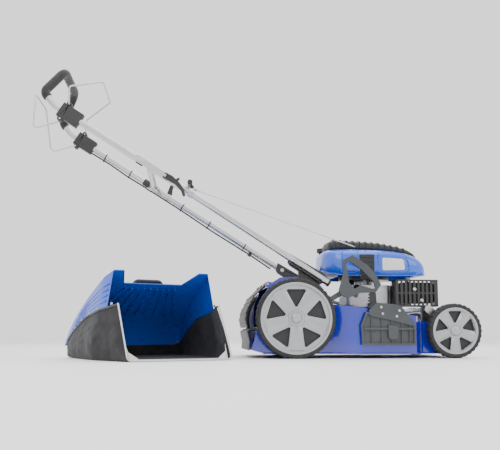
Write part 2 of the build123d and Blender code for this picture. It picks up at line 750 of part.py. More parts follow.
def rope_guide():
    """Clamp on the lower tube with the rope's eye."""
    clamp = rod(on_handle(ROPE_EYE_S - 8, -TUBE_Y), on_handle(ROPE_EYE_S + 8, -TUBE_Y), TUBE_R + 3)
    clamp += rod(on_handle(ROPE_EYE_S, -TUBE_Y, 11), on_handle(ROPE_EYE_S, ROPE_EYE_Y, ROPE_EYE_UP), 4)
    clamp -= rod(on_handle(ROPE_EYE_S - 9, -TUBE_Y), on_handle(ROPE_EYE_S + 9, -TUBE_Y), TUBE_R + SNUG)
    start = on_handle(ROPE_EYE_S - 5, ROPE_EYE_Y, ROPE_EYE_UP)
    end = on_handle(ROPE_EYE_S + 5, ROPE_EYE_Y, ROPE_EYE_UP)
    clamp += rod(start, end, 8)
    return clamp - rod(on_handle(ROPE_EYE_S - 8, ROPE_EYE_Y, ROPE_EYE_UP),
                       on_handle(ROPE_EYE_S + 8, ROPE_EYE_Y, ROPE_EYE_UP), 4.5)


def rope_point(share):
    """Point along the taut rope, from its eye towards the engine."""
    return along(on_handle(ROPE_EYE_S, ROPE_EYE_Y, ROPE_EYE_UP), ROPE_EXIT, share)


def starter_rope():
    """Taut rope from the recoil starter to its eye."""
    return rod(rope_point(0), rope_point(0.99), ROPE_R)


def starter_handle():
    """T-shaped pull that rests on the rope's eye."""
    eye = on_handle(ROPE_EYE_S + 6.2, ROPE_EYE_Y, ROPE_EYE_UP)
    dx, _, dz = pull_direction()
    top = (eye[0] + 16 * dx, eye[1], eye[2] + 16 * dz)
    middle = (eye[0] + 22 * dx, eye[1], eye[2] + 22 * dz)
    start = (eye[0] + 3 * dx, eye[1], eye[2] + 3 * dz)
    grip = rod((middle[0], eye[1] - 40, middle[2]), (middle[0], eye[1] + 40, middle[2]), 9)
    grip = fillet(grip.edges().filter_by(GeomType.CIRCLE), 4)
    return grip + rod(start, top, 6)


CABLE_R = 2.5
CABLE_LANES = (TUBE_Y - 6.0, TUBE_Y + 6.0)


def cables_upper():
    """Two control cables under the upper tube's left leg."""
    runs = [(1029, -19), (940, -17), (860, -20), (UPPER_S + 4, -18)]
    return group(*[pipe([on_handle(s, y, up) for s, up in runs], CABLE_R, 300)
                   for y in CABLE_LANES])


def cables_lower():
    """The same cables under the lower tube, with their clip."""
    runs = [(CROSS_S + 4, -18), (600, -17), (440, -20), (262, -17), (162, -19)]
    pieces = [pipe([on_handle(s, y, up) for s, up in runs], CABLE_R, 300) for y in CABLE_LANES]
    clip = handle_block(258, 272, -24, -TUBE_R - 0.2, TUBE_Y - 11, TUBE_Y + 11)
    for y in CABLE_LANES:
        clip -= pipe([on_handle(s, y, up) for s, up in runs], CABLE_R, 300)
    return group(clip, *pieces)


# ------------------------------------------------------------------- engine
def crankcase():
    """Aluminium crankcase with its mounting flange and oil filler."""
    body = rod((CRANK_X, 0, MOUNT_Z), (CRANK_X, 0, MOUNT_Z + 8), 104)
    case = block(CASE_REAR, CASE_FRONT, -CASE_HALF, CASE_HALF, MOUNT_Z + 8, CASE_TOP)
    case = fillet(case.edges().filter_by(Axis.Z), 18)
    body += case + rod((CRANK_X, 0, CASE_TOP), (CRANK_X, 0, CASE_TOP + 18), 36)
    body += rod(oil_point(-6), oil_point(26), 11)
    inside = CASE_HALF - CASE_WALL
    body -= block(CASE_REAR + CASE_WALL, CASE_FRONT - CASE_WALL, -inside, inside,
                  MOUNT_Z + 20, CASE_TOP - CASE_WALL)
    body -= rod((CRANK_X, 0, 170), (CRANK_X, 0, 300), SHAFT_R + RUN_FIT)
    body -= rod(oil_point(-20), oil_point(30), 7)
    for x, y in ENGINE_BOLTS:
        body -= rod((x, y, MOUNT_Z - 5), (x, y, MOUNT_Z + 8), BOLT_R + RUN_FIT)
    return body


def oil_point(distance):
    """Point along the oil filler, which leans out of the near side."""
    return (250.0, -78.0 - 0.78 * distance, 232.0 + 0.62 * distance)


def oil_cap():
    """Screw cap with its dipstick."""
    cap = rod(oil_point(27), oil_point(41), 14)
    cap += rod(oil_point(-14), oil_point(27), 3)
    return cap + rod(oil_point(41), oil_point(45), 6)


def engine_bolts():
    pieces = []
    for x, y in ENGINE_BOLTS:
        bolt = rod((x, y, MOUNT_Z - 10), (x, y, MOUNT_Z + 15), BOLT_R)
        bolt += rod((x, y, MOUNT_Z + 8), (x, y, MOUNT_Z + 14), 7)
        bolt += rod((x, y, MOUNT_Z - WALL - 7), (x, y, MOUNT_Z - WALL), 7)
        pieces.append(bolt)
    return group(*pieces)


def cylinder():
    """Finned cylinder, lying forwards."""
    y, z = CYLINDER_Y, CYLINDER_Z
    body = rod((CASE_FRONT, y, z), (CYLINDER_END, y, z), 34)
    for i in range(7):
        x = CASE_FRONT + 3 + 8 * i
        body += block(x, x + 3, y - FIN_HALF, y + FIN_HALF, FIN_BOTTOM, FIN_TOP)
    return body


def cylinder_head():
    y0, y1 = CYLINDER_Y - FIN_HALF, CYLINDER_Y + FIN_HALF
    body = block(CYLINDER_END, HEAD_END, y0, y1, FIN_BOTTOM, FIN_TOP)
    for i in range(9):
        y = y0 + 5 + 12 * i
        body -= block(HEAD_END - 12, HEAD_END + 1, y, y + 6, FIN_BOTTOM - 15, FIN_TOP + 10)
    return body


def spark_plug():
    """Plug, its boot and the lead up to the cowl."""
    y, z = CYLINDER_Y, CYLINDER_Z
    plug = rod((HEAD_END, y, z), (500, y, z), 7)
    boot = rod((500, y, z), (524, y, z), 11)
    lead = pipe([(514, y, z + 11), (514, y, z + 40), (470, y + 20, 296)], 3, 12)
    return group(plug, boot, lead)


MUFFLER = ((402.0, -120.0, 198.0), (538.0, -70.0, 276.0))
GUARD = ((388.0, -130.0, 186.0), (548.0, -74.0, 286.0))
GUARD_WALL = 2.0


def muffler():
    """Pressed silencer box with its exhaust stub."""
    (x0, y0, z0), (x1, y1, z1) = MUFFLER
    box = block(x0, x1, y0, y1, z0, z1)
    box = fillet(box.edges().filter_by(Axis.Y), 14)
    box -= block(x0 + 6, x1 - 6, y0 + 2, y1 - 2, z0 + 6, z1 - 6)
    return box + rod((458, y1, 235), (458, CYLINDER_Y - FIN_HALF, 235), 12)


def muffler_guard():
    """Slotted heat guard, held on two screws."""
    (x0, y0, z0), (x1, y1, z1) = GUARD
    wall = GUARD_WALL
    guard = block(x0, x1, y0, y1, z0, z1)
    guard -= block(x0 + wall, x1 - wall, y0 + wall, y1 + 4, z0 + wall, z1 - wall)
    for row in (z0 + 6, z0 + 53):
        for i in range(9):
            x = x0 + 10 + 16 * i
            guard -= block(x, x + 8, y0 - wall, y0 + 2 * wall, row, row + 41)
    for x, z in ((459, 250), (486, 208.5)):
        guard += rod((x, y0, z), (x, MUFFLER[0][1], z), 8)
        guard -= rod((x, y0 - 3, z), (x, y0 + 6, z), 4)
    return guard


COWL_REAR = 105.0
COWL_FRONT = 512.0
COWL_CORNER = 60.0
COWL_SIDE = [(COWL_REAR, 306), (113, 396), (140, COWL_TOP), (320, COWL_TOP), (430, 390),
             (480, 372), (502, 342), (COWL_FRONT, 303), (397, 303), (385, 296), (180, 296),
             (168, 306)]
COWL_RECESS = (249.0, 305.0, 285.0, 377.0)


def rounded_plan(x0, x1, half, z0, z1, radius):
    """Upright block with rounded corners."""
    plan = [(x0, -half), (x1, -half), (x1, half), (x0, half)]
    return plan_prism(plan, z0, z1, [(x0 - 1, x1 + 1, radius)])


def engine_cowl():
    """Painted engine cover, open below."""
    gaps = [WALL] * 7 + [-WALL] * 5
    low, high = 280, COWL_TOP + 18
    shell = side_prism(COWL_SIDE, -COWL_HALF, COWL_HALF)
    shell &= rounded_plan(COWL_REAR, COWL_FRONT, COWL_HALF, low, high, COWL_CORNER)
    hollow = side_prism(inset(COWL_SIDE, gaps), -COWL_HALF, COWL_HALF)
    hollow &= rounded_plan(COWL_REAR + WALL, COWL_FRONT - WALL, COWL_HALF - WALL, low, high,
                           COWL_CORNER - WALL)
    shell -= hollow
    x0, x1, z0, z1 = COWL_RECESS
    shell -= block(x0, x1, -COWL_HALF - 1, -COWL_HALF + 6, z0, z1)
    return shell - rod((TANK_X, TANK_Y, 380), (TANK_X, TANK_Y, 420), NECK_R + SIDE_GAP)


SHROUD_REAR = 120.0
SHROUD_FRONT = 500.0
SHROUD_CORNER = 40.0
SHROUD_SIDE = [(140, COWL_TOP), (320, COWL_TOP), (430, 390), (480, 372), (489, 373), (456, 404),
               (408, 414), (344, 426), (286, 431), (209, 433), (171, 438), (149, 434), (133, 420)]


def top_shroud():
    """Black vented cover over the recoil starter."""
    gaps = [-WALL] * 3 + [WALL] * 10
    low, high = 360, 460
    shell = side_prism(SHROUD_SIDE, -SHROUD_HALF, SHROUD_HALF)
    shell &= rounded_plan(SHROUD_REAR, SHROUD_FRONT, SHROUD_HALF, low, high, SHROUD_CORNER)
    hollow = side_prism(inset(SHROUD_SIDE, gaps), -SHROUD_HALF, SHROUD_HALF)
    hollow &= rounded_plan(SHROUD_REAR + 3, SHROUD_FRONT - 3, SHROUD_HALF - WALL, low, high,
                           SHROUD_CORNER - 3)
    shell -= hollow
    shell += rod(rope_point(0.965), rope_point(0.999), 4.5) - shell
    shell -= rod(rope_point(0.95), rope_point(1.0), ROPE_R + 0.3)
    cap_room = TANK_X + 39
    return shell - block(SHROUD_REAR - 20, cap_room, TANK_Y - 30, SHROUD_HALF + 20, low, high)


PAN_R = 96.0
PAN_BOTTOM = 288.0
PAN_TOP = 386.0
PAN_WALL = 3.0


def recoil_housing():
    """Blower ring and recoil starter pan over the flywheel."""
    low, high, wall = PAN_BOTTOM, PAN_TOP, PAN_WALL
    pan = ring((CRANK_X, 0, low), (CRANK_X, 0, high), PAN_R, PAN_R - wall)
    pan += ring((CRANK_X, 0, high - wall), (CRANK_X, 0, high), PAN_R - 2, 20)
    pan += ring((CRANK_X, 0, low), (CRANK_X, 0, low + wall), PAN_R - 2, 56)
    for x, y in bolt_spots(68, (90, 180, 270)):
        pan += rod((x, y, CASE_TOP), (x, y, low + 1), 6)
    return pan


def fuel_tank():
    """Moulded tank with its filler neck."""
    (x0, y0, z0), (x1, y1, z1) = TANK
    wall = TANK_WALL
    tank = block(x0, x1, y0, y1, z0, z1)
    tank = fillet(tank.edges().filter_by(Axis.Z), 12)
    tank += rod((TANK_X, TANK_Y, z1), (TANK_X, TANK_Y, NECK_TOP), NECK_R)
    tank -= block(x0 + wall, x1 - wall, y0 + wall, y1 - wall, z0 + wall, z1 - wall)
    return tank - rod((TANK_X, TANK_Y, z1 - 12), (TANK_X, TANK_Y, NECK_TOP + 5), NECK_R - 3)


def fuel_cap():
    base = NECK_TOP + SIDE_GAP
    cap = rod((TANK_X, TANK_Y, base), (TANK_X, TANK_Y, base + 17.5), 24)
    cap = fillet(cap.edges().filter_by(GeomType.CIRCLE), 3)
    return cap + rod((TANK_X, TANK_Y, NECK_TOP - 20), (TANK_X, TANK_Y, base + 1), NECK_R - 5)


def air_filter_box():
    box = block(248, 348, 118, 160, 218, 290)
    return fillet(box.edges().filter_by(Axis.Y), 12)


def carburettor():
    body = block(284, 328, 80, 118, 230, 268)
    return fillet(body.edges().filter_by(Axis.Y), 8)


def crankshaft():
    return rod((CRANK_X, 0, SHAFT_BOTTOM), (CRANK_X, 0, SHAFT_TOP), SHAFT_R)


def flywheel():
    """Flywheel with fan vanes."""
    x, z = CRANK_X, FLYWHEEL_Z
    wheel = rod((x, 0, z), (x, 0, z + 42), 22)
    wheel += rod((x, 0, z + 12), (x, 0, z + 18), FLYWHEEL_R)
    wheel += ring((x, 0, z), (x, 0, z + 30), FLYWHEEL_R, FLYWHEEL_R - 9)
    for i in range(12):
        vane = block(38, FLYWHEEL_R - 6, -1.5, 1.5, z + 17, z + 40)
        wheel += Pos(x, 0, 0) * (Rot(0, 0, 30 * i) * vane)
    return wheel - rod((x, 0, z - 1), (x, 0, z + 50), SHAFT_R + SNUG)


def blade_mount():
    """Hub that carries the blade, with its bolt and washer."""
    hub = rod((CRANK_X, 0, BLADE_Z + BLADE_THICK), (CRANK_X, 0, 86), 26)
    hub -= rod((CRANK_X, 0, SHAFT_BOTTOM), (CRANK_X, 0, 90), SHAFT_R + SNUG)
    hub -= rod((CRANK_X, 0, 40), (CRANK_X, 0, 70), BLADE_BOLT_R + SNUG)
    bolt = rod((CRANK_X, 0, BLADE_Z - 8), (CRANK_X, 0, SHAFT_BOTTOM), BLADE_BOLT_R)
    bolt += rod((CRANK_X, 0, BLADE_Z - 3), (CRANK_X, 0, BLADE_Z), 20)
    bolt += rod((CRANK_X, 0, BLADE_Z - 10), (CRANK_X, 0, BLADE_Z - 3), 10)
    return group(hub, bolt)


def blade():
    """Cutting blade with lifted trailing wings."""
    half = BLADE_LENGTH / 2
    top = BLADE_Z + BLADE_THICK
    bar_shape = block(-half, half, -BLADE_WIDTH / 2, BLADE_WIDTH / 2, BLADE_Z, top)
    for turn in (0, 180):
        wing = [(0, 0), (4, 0), (14, 15), (10, 15)]
        face = make_face(Polyline(*[(half - 70, 21 + a, top - 1 + b) for a, b in wing], close=True))
        bar_shape += Rot(0, 0, turn) * extrude(face, amount=55, dir=(1, 0, 0))
    bar_shape &= rod((0, 0, 0), (0, 0, 100), half)
    bar_shape -= rod((0, 0, 0), (0, 0, 100), BLADE_BOLT_R + SNUG)
    return Pos(CRANK_X, 0, 0) * (Rot(0, 0, BLADE_TURN) * bar_shape)


# ---------------------------------------------------------------- grass bag
BAG_RIDGE = [LID_PEAK, (253, 256), (336, 217), (407, 174), (464, 132), (500, 93), (BAG_END, 49)]
BAG_SEAM = [(MOUTH_LEAN, MOUTH_HIGH), (325, 142), (430, 98), (BAG_END, 43)]


def bag_place(solid):
    """From the bag's own frame: x across the mouth, y into the bag."""
    return Pos(BAG_X, BAG_Y, 0) * (Rot(0, 0, BAG_YAW) * solid)


def bag_side(points, half):
    """Outline of (y, z) points extruded across the bag."""
    outline = Polyline(*[(-half, y, z) for y, z in points], close=True)
    return extrude(make_face(outline), amount=2 * half, dir=(1, 0, 0))


def bag_body(gap):
    """Solid of the bag's plan, upright to the lowest seam and leaning inwards above it."""
    mouth, body = MOUTH_HALF - gap, BAG_HALF - gap
    front, back = (-60 if gap else 0), BAG_END - gap
    points = [(-mouth, front), (mouth, front), (body, 200), (body, back), (-body, back)]
    points.append((-body, 200))
    level = BAG_SEAM[-1][1]
    face = make_face(Polyline(*[(x, y, level) for x, y in points], close=True))
    upper = extrude(face, amount=320 - level, dir=(0, 0, 1), taper=BAG_LEAN)
    return plan_prism(points, -10, level) + upper


def bag_lid():
    """Hard moulded lid with two horns either side of a notch."""
    outline = BAG_SEAM[::-1] + BAG_RIDGE
    lid = bag_side(outline, BAG_HALF) & bag_body(0)
    gaps = [-8] * 3 + [-40] + [BAG_WALL] * 7
    lid -= bag_side(inset(outline, gaps), BAG_HALF) & bag_body(BAG_WALL)
    notch = [(-139, 90), (139, 90), (139, 150), (107, NOTCH_END), (-107, NOTCH_END), (-139, 150)]
    return lid - plan_prism(notch, MOUTH_HIGH, 330)


def bag_fabric():
    """Fabric sides, back and bottom."""
    outline = [(6, 6), (BAG_END - 20, 2), (BAG_END, 43), (430, 98), (325, 142)]
    outline.append((MOUTH_LEAN, MOUTH_HIGH))
    cloth = bag_side(outline, BAG_HALF) & bag_body(0)
    gaps = [BAG_WALL, BAG_WALL, -6, -6, -6, -40]
    return cloth - (bag_side(inset(outline, gaps), BAG_HALF) & bag_body(BAG_WALL))


def bag_wire():
    """Steel wire frame round the mouth."""
    half = MOUTH_HALF + BAG_WIRE_R + 0.5
    base = BAG_WIRE_R + 0.5
    top = (MOUTH_LEAN - 8, MOUTH_HIGH + 3)
    points = [(-half, *top), (-half, -5, base), (half, -5, base), (half, *top)]
    return pipe(points, BAG_WIRE_R, 14)


def bag_handle():
    """Grab handle on the lid."""
    half = 52
    near, far = [(-half, 300, 225), (-half, 290, 272)], [(half, 290, 272), (half, 300, 225)]
    return pipe(near + far, 7, 16) - bag_side(BAG_RIDGE + [(BAG_END, 0), (0, 0)], BAG_HALF)


NODES = {
    "deck": deck(),
    "rear_housing": rear_housing(),
    "flap_pins": flap_pins(),
    "rear_skirt": rear_skirt(),
    "flap_springs": flap_springs(),
    "side_flap_bracket": side_flap_bracket(),
    "axle_bearings": axle_bearings(),
    "height_quadrant": height_quadrant(),
    "handle_brackets": handle_brackets(),
    "handle_bolts": handle_bolts(),
    "lower_handle": lower_handle(),
    "rope_guide": rope_guide(),
    "starter_rope": starter_rope(),
    "cables_lower": cables_lower(),
    "crankcase": crankcase(),
    "engine_bolts": engine_bolts(),
    "cylinder": cylinder(),
    "cylinder_head": cylinder_head(),
    "spark_plug": spark_plug(),
    "muffler": muffler(),
    "muffler_guard": muffler_guard(),
    "engine_cowl": engine_cowl(),
    "top_shroud": top_shroud(),
    "recoil_housing": recoil_housing(),
    "fuel_tank": fuel_tank(),
    "air_filter_box": air_filter_box(),
    "carburettor": carburettor(),
    "rear_axle": rear_axle(),
    "height_lever": height_lever(),
    "front_axle": front_axle(),
    "height_link": height_link(),
    "crankshaft": crankshaft(),
    "flywheel": flywheel(),
    "blade_mount": blade_mount(),
    "blade": blade(),
    "side_flap": side_flap(),
    "rear_flap": rear_flap(),
    "upper_handle": upper_handle(),
    "handle_grip": handle_grip(),
    "consoles": consoles(),
    "cables_upper": cables_upper(),
    "drive_bail": drive_bail(),
    "stop_bail": stop_bail(),
    "cam_lever_right": cam_lever(-1, CAM_RISE[-1]),
    "cam_lever_left": cam_lever(1, CAM_RISE[1]),
    "starter_handle": starter_handle(),
    "fuel_cap": fuel_cap(),
    "oil_cap": oil_cap(),
    "bag_lid": bag_place(bag_lid()),
    "bag_fabric": bag_place(bag_fabric()),
    "bag_wire": bag_place(bag_wire()),
    "bag_handle": bag_place(bag_handle()),
}
for side, sign in (("right", -1), ("left", 1)):
    NODES[f"rear_rim_{side}"] = rim(REAR_AXLE, REAR_R, REAR_WIDTH, REAR_OUT, sign, True)
    NODES[f"rear_tyre_{side}"] = tyre(REAR_AXLE, REAR_R, REAR_WIDTH, REAR_OUT, sign)
    NODES[f"front_rim_{side}"] = rim(FRONT_AXLE, FRONT_R, FRONT_WIDTH, FRONT_OUT, sign, False)
    NODES[f"front_tyre_{side}"] = tyre(FRONT_AXLE, FRONT_R, FRONT_WIDTH, FRONT_OUT, sign)

box = Compound([solid for shape in NODES.values() for solid in shape.solids()]).bounding_box()
SHIFT = (-(box.min.X + box.max.X) / 2, -(box.min.Y + box.max.Y) / 2, -box.min.Z)

os.makedirs("parts", exist_ok=True)
for name, shape in NODES.items():
    export_step(Pos(*SHIFT) * shape, f"parts/{name}.step")
print("origin shift", [round(value, 4) for value in SHIFT])
print("size", [round(value, 2) for value in box.size])
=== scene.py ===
"""Looks of the push lawn mower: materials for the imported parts, and detailed pieces over them.

Sizes are millimetres in the mower's own frame: x forwards from the rear axle, y to
the mower's left from its centre line, z up from the ground. at() turns them into metres
in the row frame.
"""

import json
import math

import bmesh
import bpy
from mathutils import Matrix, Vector, noise


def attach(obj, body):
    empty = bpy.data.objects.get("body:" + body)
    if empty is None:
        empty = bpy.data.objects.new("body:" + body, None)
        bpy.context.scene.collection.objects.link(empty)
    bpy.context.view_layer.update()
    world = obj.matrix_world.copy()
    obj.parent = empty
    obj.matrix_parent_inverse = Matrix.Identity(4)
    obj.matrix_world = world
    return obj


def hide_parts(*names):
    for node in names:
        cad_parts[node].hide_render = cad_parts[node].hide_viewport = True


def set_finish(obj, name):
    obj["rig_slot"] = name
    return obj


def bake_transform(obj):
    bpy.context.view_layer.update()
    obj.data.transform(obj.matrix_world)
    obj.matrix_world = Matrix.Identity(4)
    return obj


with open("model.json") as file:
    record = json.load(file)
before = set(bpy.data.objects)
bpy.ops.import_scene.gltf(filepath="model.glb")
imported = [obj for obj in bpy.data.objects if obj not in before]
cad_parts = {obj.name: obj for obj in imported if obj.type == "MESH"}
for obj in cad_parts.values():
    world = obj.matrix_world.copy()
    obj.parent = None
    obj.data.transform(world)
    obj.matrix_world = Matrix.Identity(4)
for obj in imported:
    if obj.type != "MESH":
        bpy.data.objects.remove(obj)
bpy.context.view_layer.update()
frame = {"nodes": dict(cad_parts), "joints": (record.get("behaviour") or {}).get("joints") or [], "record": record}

JOINTS = {joint["name"]: joint for joint in frame["joints"]}
NODES = frame["nodes"]
SIDES = ((-1, "right"), (1, "left"))
MM = 0.001


def joint_place(name):
    return Vector(JOINTS[name]["pos_m"])


RIGHT_HUB = joint_place("rear_wheel_spin_right")
LEFT_HUB = joint_place("rear_wheel_spin_left")
ORIGIN = Vector((RIGHT_HUB.x, (RIGHT_HUB.y + LEFT_HUB.y) / 2, 0))


def at(x, y, z):
    """Point of the mower's own frame, in metres in the row frame."""
    return ORIGIN + Vector((x, y, z)) * MM


# ------------------------------------------------------------------ camera
SENSOR = 36.0
LENS = 50.4
CAMERA_PLACE = (-376.7, -2649.9, 89.0)
CAMERA_HEADING = 5.1
CAMERA_RISE = 5.55
CAMERA_SHIFT = 0.08


def make_camera():
    camera = bpy.data.objects.new("camera", bpy.data.cameras.new("camera"))
    bpy.context.scene.collection.objects.link(camera)
    camera.data.sensor_width = SENSOR
    camera.data.lens = LENS
    camera.data.shift_y = CAMERA_SHIFT
    camera.location = at(*CAMERA_PLACE)
    camera.rotation_euler = (math.radians(90 + CAMERA_RISE), 0, math.radians(-CAMERA_HEADING))
    bpy.context.scene.camera = camera


make_camera()


# --------------------------------------------------------------- materials
NOISE_SPAN = (0.3, 0.7)     # most of a noise's values lie between these
COAT_ROUGHNESS = 0.04
GLOSS_SPAN = (0.85, 1.2)    # shares of a finish's roughness
THREAD_SCALE = 140.0
THREAD_WOBBLE = 0.6
WEAVE_RELIEF = 0.35
WEAVE_DEPTH = 0.0004


def link(tree, source, target):
    tree.links.new(source, target)


def mapped(tree, stretch=(1, 1, 1), turn=(0, 0, 0)):
    """Object coordinates, turned and stretched."""
    coordinates = tree.nodes.new("ShaderNodeTexCoord")
    mapping = tree.nodes.new("ShaderNodeMapping")
    mapping.inputs["Scale"].default_value = stretch
    mapping.inputs["Rotation"].default_value = turn
    link(tree, coordinates.outputs["Object"], mapping.inputs["Vector"])
    return mapping.outputs["Vector"]


def noise_node(tree, vector, scale, detail=4.0):
    node = tree.nodes.new("ShaderNodeTexNoise")
    node.inputs["Scale"].default_value = scale
    node.inputs["Detail"].default_value = detail
    link(tree, vector, node.inputs["Vector"])
    return node.outputs["Fac"]


def span(tree, value, low, high):
    """Remap the middle of a noise to low..high."""
    node = tree.nodes.new("ShaderNodeMapRange")
    node.inputs["From Min"].default_value = NOISE_SPAN[0]
    node.inputs["From Max"].default_value = NOISE_SPAN[1]
    node.inputs["To Min"].default_value = low
    node.inputs["To Max"].default_value = high
    link(tree, value, node.inputs["Value"])
    return node.outputs["Result"]


def blend_colours(tree, factor, first, second):
    node = tree.nodes.new("ShaderNodeMix")
    node.data_type = "RGBA"
    node.inputs["A"].default_value = (*first, 1)
    node.inputs["B"].default_value = (*second, 1)
    link(tree, factor, node.inputs["Factor"])
    return node.outputs["Result"]


def bump(tree, height, strength, distance):
    node = tree.nodes.new("ShaderNodeBump")
    node.inputs["Strength"].default_value = strength
    node.inputs["Distance"].default_value = distance
    link(tree, height, node.inputs["Height"])
    return node.outputs["Normal"]


def finish(name, colour, rough, metal=0.0, coat=0.0, vary=0.12, patch=7.0, grain=900.0,
           relief=0.15, depth=0.0002, stretch=(1, 1, 1), turn=(0, 0, 0), sheen=0.0):
    """Material with uneven colour, uneven gloss and a fine relief."""
    material = bpy.data.materials.new(name)
    material.use_nodes = True
    tree = material.node_tree
    shader = tree.nodes["Principled BSDF"]
    place = mapped(tree)
    fine = mapped(tree, stretch, turn)
    darker = tuple(c * (1 - vary) for c in colour)
    lighter = tuple(min(1, c * (1 + vary)) for c in colour)
    patches = span(tree, noise_node(tree, place, patch), 0, 1)
    link(tree, blend_colours(tree, patches, darker, lighter), shader.inputs["Base Color"])
    low, high = (min(1, rough * share) for share in GLOSS_SPAN)
    gloss = span(tree, noise_node(tree, fine, patch * 6), low, high)
    link(tree, gloss, shader.inputs["Roughness"])
    height = noise_node(tree, fine, grain, 3)
    link(tree, bump(tree, height, relief, depth), shader.inputs["Normal"])
    shader.inputs["Metallic"].default_value = metal
    shader.inputs["Coat Weight"].default_value = coat
    shader.inputs["Coat Roughness"].default_value = COAT_ROUGHNESS
    if sheen:
        shader.inputs["Sheen Weight"].default_value = sheen
    return material


def fabric(name, colour):
    """Woven cloth: two crossing sets of threads."""
    material = finish(name, colour, 0.85, vary=0.3, patch=5, sheen=0.1)
    tree = material.node_tree
    shader = tree.nodes["Principled BSDF"]
    waves = []
    for direction in ("X", "Z"):
        wave = tree.nodes.new("ShaderNodeTexWave")
        wave.bands_direction = direction
        wave.inputs["Scale"].default_value = THREAD_SCALE
        wave.inputs["Distortion"].default_value = THREAD_WOBBLE
        link(tree, mapped(tree, turn=(0, 0, -BAG_YAW)), wave.inputs["Vector"])
        waves.append(wave.outputs["Fac"])
    weave = tree.nodes.new("ShaderNodeMath")
    weave.operation = "MAXIMUM"
    link(tree, waves[0], weave.inputs[0])
    link(tree, waves[1], weave.inputs[1])
    link(tree, bump(tree, weave.outputs[0], WEAVE_RELIEF, WEAVE_DEPTH), shader.inputs["Normal"])
    return material


SLOPE = math.radians(32.6)                 # of the handle over the ground
BAG_YAW = math.radians(25)                 # the bag stands turned about the vertical
FINISHES = {
    "deck_paint": dict(colour=(0.003, 0.014, 0.36), rough=0.22, coat=1.0, vary=0.1, grain=260,
                       relief=0.05),
    "cowl_paint": dict(colour=(0.006, 0.085, 0.55), rough=0.3, coat=0.7, vary=0.08, grain=500,
                       relief=0.06),
    "black_plastic": dict(colour=(0.012, 0.012, 0.014), rough=0.5, vary=0.3, grain=1500,
                          relief=0.3),
    "grey_plastic": dict(colour=(0.045, 0.05, 0.055), rough=0.52, vary=0.15, grain=1500,
                         relief=0.3),
    "bare_tube": dict(colour=(0.5, 0.5, 0.51), rough=0.3, metal=1.0, vary=0.06, patch=5,
                      grain=700, relief=0.12, stretch=(0.04, 1, 1), turn=(0, -SLOPE, 0)),
    "fastener_steel": dict(colour=(0.5, 0.5, 0.51), rough=0.3, metal=1.0, patch=20),
    "blade_steel": dict(colour=(0.3, 0.31, 0.33), rough=0.42, metal=1.0, vary=0.25, patch=16),
    "engine_alloy": dict(colour=(0.52, 0.52, 0.54), rough=0.42, metal=1.0, vary=0.15, patch=12,
                         grain=320, relief=0.5, depth=0.0006),
    "black_metal": dict(colour=(0.012, 0.012, 0.012), rough=0.36, coat=0.3, vary=0.25,
                        patch=12),
    "wheel_silver": dict(colour=(0.34, 0.35, 0.37), rough=0.34, metal=0.6, coat=0.4, vary=0.07,
                         patch=9, relief=0.1),
    "tyre_black": dict(colour=(0.014, 0.014, 0.015), rough=0.72, vary=0.3, patch=14, grain=500,
                       relief=0.5),
    "grip_foam": dict(colour=(0.012, 0.012, 0.013), rough=0.85, vary=0.25, patch=30, grain=650,
                      relief=0.8, depth=0.0005, sheen=0.15),
    "lid_blue": dict(colour=(0.004, 0.075, 0.56), rough=0.3, coat=0.6, vary=0.08, grain=400,
                     relief=0.06),
    "rope_cord": dict(colour=(0.62, 0.62, 0.6), rough=0.8, vary=0.15, patch=40, grain=1500,
                      relief=0.6),
    "cable_sheath": dict(colour=(0.01, 0.01, 0.011), rough=0.45, vary=0.2, patch=20, relief=0.2),
    "sticker_yellow": dict(colour=(0.8, 0.55, 0.02), rough=0.4, coat=0.4, vary=0.05, grain=300),
    "tank_white": dict(colour=(0.6, 0.6, 0.57), rough=0.45, vary=0.08, patch=10, grain=600,
                       relief=0.2),
}
PAINT = {name: finish(name, **look) for name, look in FINISHES.items()}
PAINT["bag_cloth"] = fabric("bag_cloth", (0.011, 0.011, 0.013))


# ------------------------------------------------------------ smooth CAD nodes
SHARP = math.radians(32)
JOIN_DISTANCE = 0.00002     # metres


def smoothing_nodes():
    """Node group: join split corners, then shade smooth but for the sharp edges."""
    group = bpy.data.node_groups.new("smooth_by_angle", "GeometryNodeTree")
    group.interface.new_socket("Geometry", in_out="INPUT", socket_type="NodeSocketGeometry")
    group.interface.new_socket("Geometry", in_out="OUTPUT", socket_type="NodeSocketGeometry")
    start = group.nodes.new("NodeGroupInput")
    stop = group.nodes.new("NodeGroupOutput")
    merge = group.nodes.new("GeometryNodeMergeByDistance")
    merge.inputs["Distance"].default_value = JOIN_DISTANCE
    forget = group.nodes.new("GeometryNodeRemoveAttribute")
    forget.inputs["Name"].default_value = "custom_normal"
    smooth = group.nodes.new("GeometryNodeSetShadeSmooth")
    smooth.domain = "FACE"
    edges = group.nodes.new("GeometryNodeSetShadeSmooth")
    edges.domain = "EDGE"
    edges.inputs["Shade Smooth"].default_value = False
    angle = group.nodes.new("GeometryNodeInputMeshEdgeAngle")
    compare = group.nodes.new("FunctionNodeCompare")
    compare.operation = "GREATER_THAN"
    compare.inputs[1].default_value = SHARP
    link(group, angle.outputs["Unsigned Angle"], compare.inputs[0])
    link(group, start.outputs[0], merge.inputs["Geometry"])
    link(group, merge.outputs["Geometry"], forget.inputs["Geometry"])
    link(group, forget.outputs["Geometry"], smooth.inputs["Geometry"])
    link(group, smooth.outputs["Geometry"], edges.inputs["Geometry"])
    link(group, compare.outputs["Result"], edges.inputs["Selection"])
    link(group, edges.outputs["Geometry"], stop.inputs[0])
    return group


SMOOTHER = smoothing_nodes()


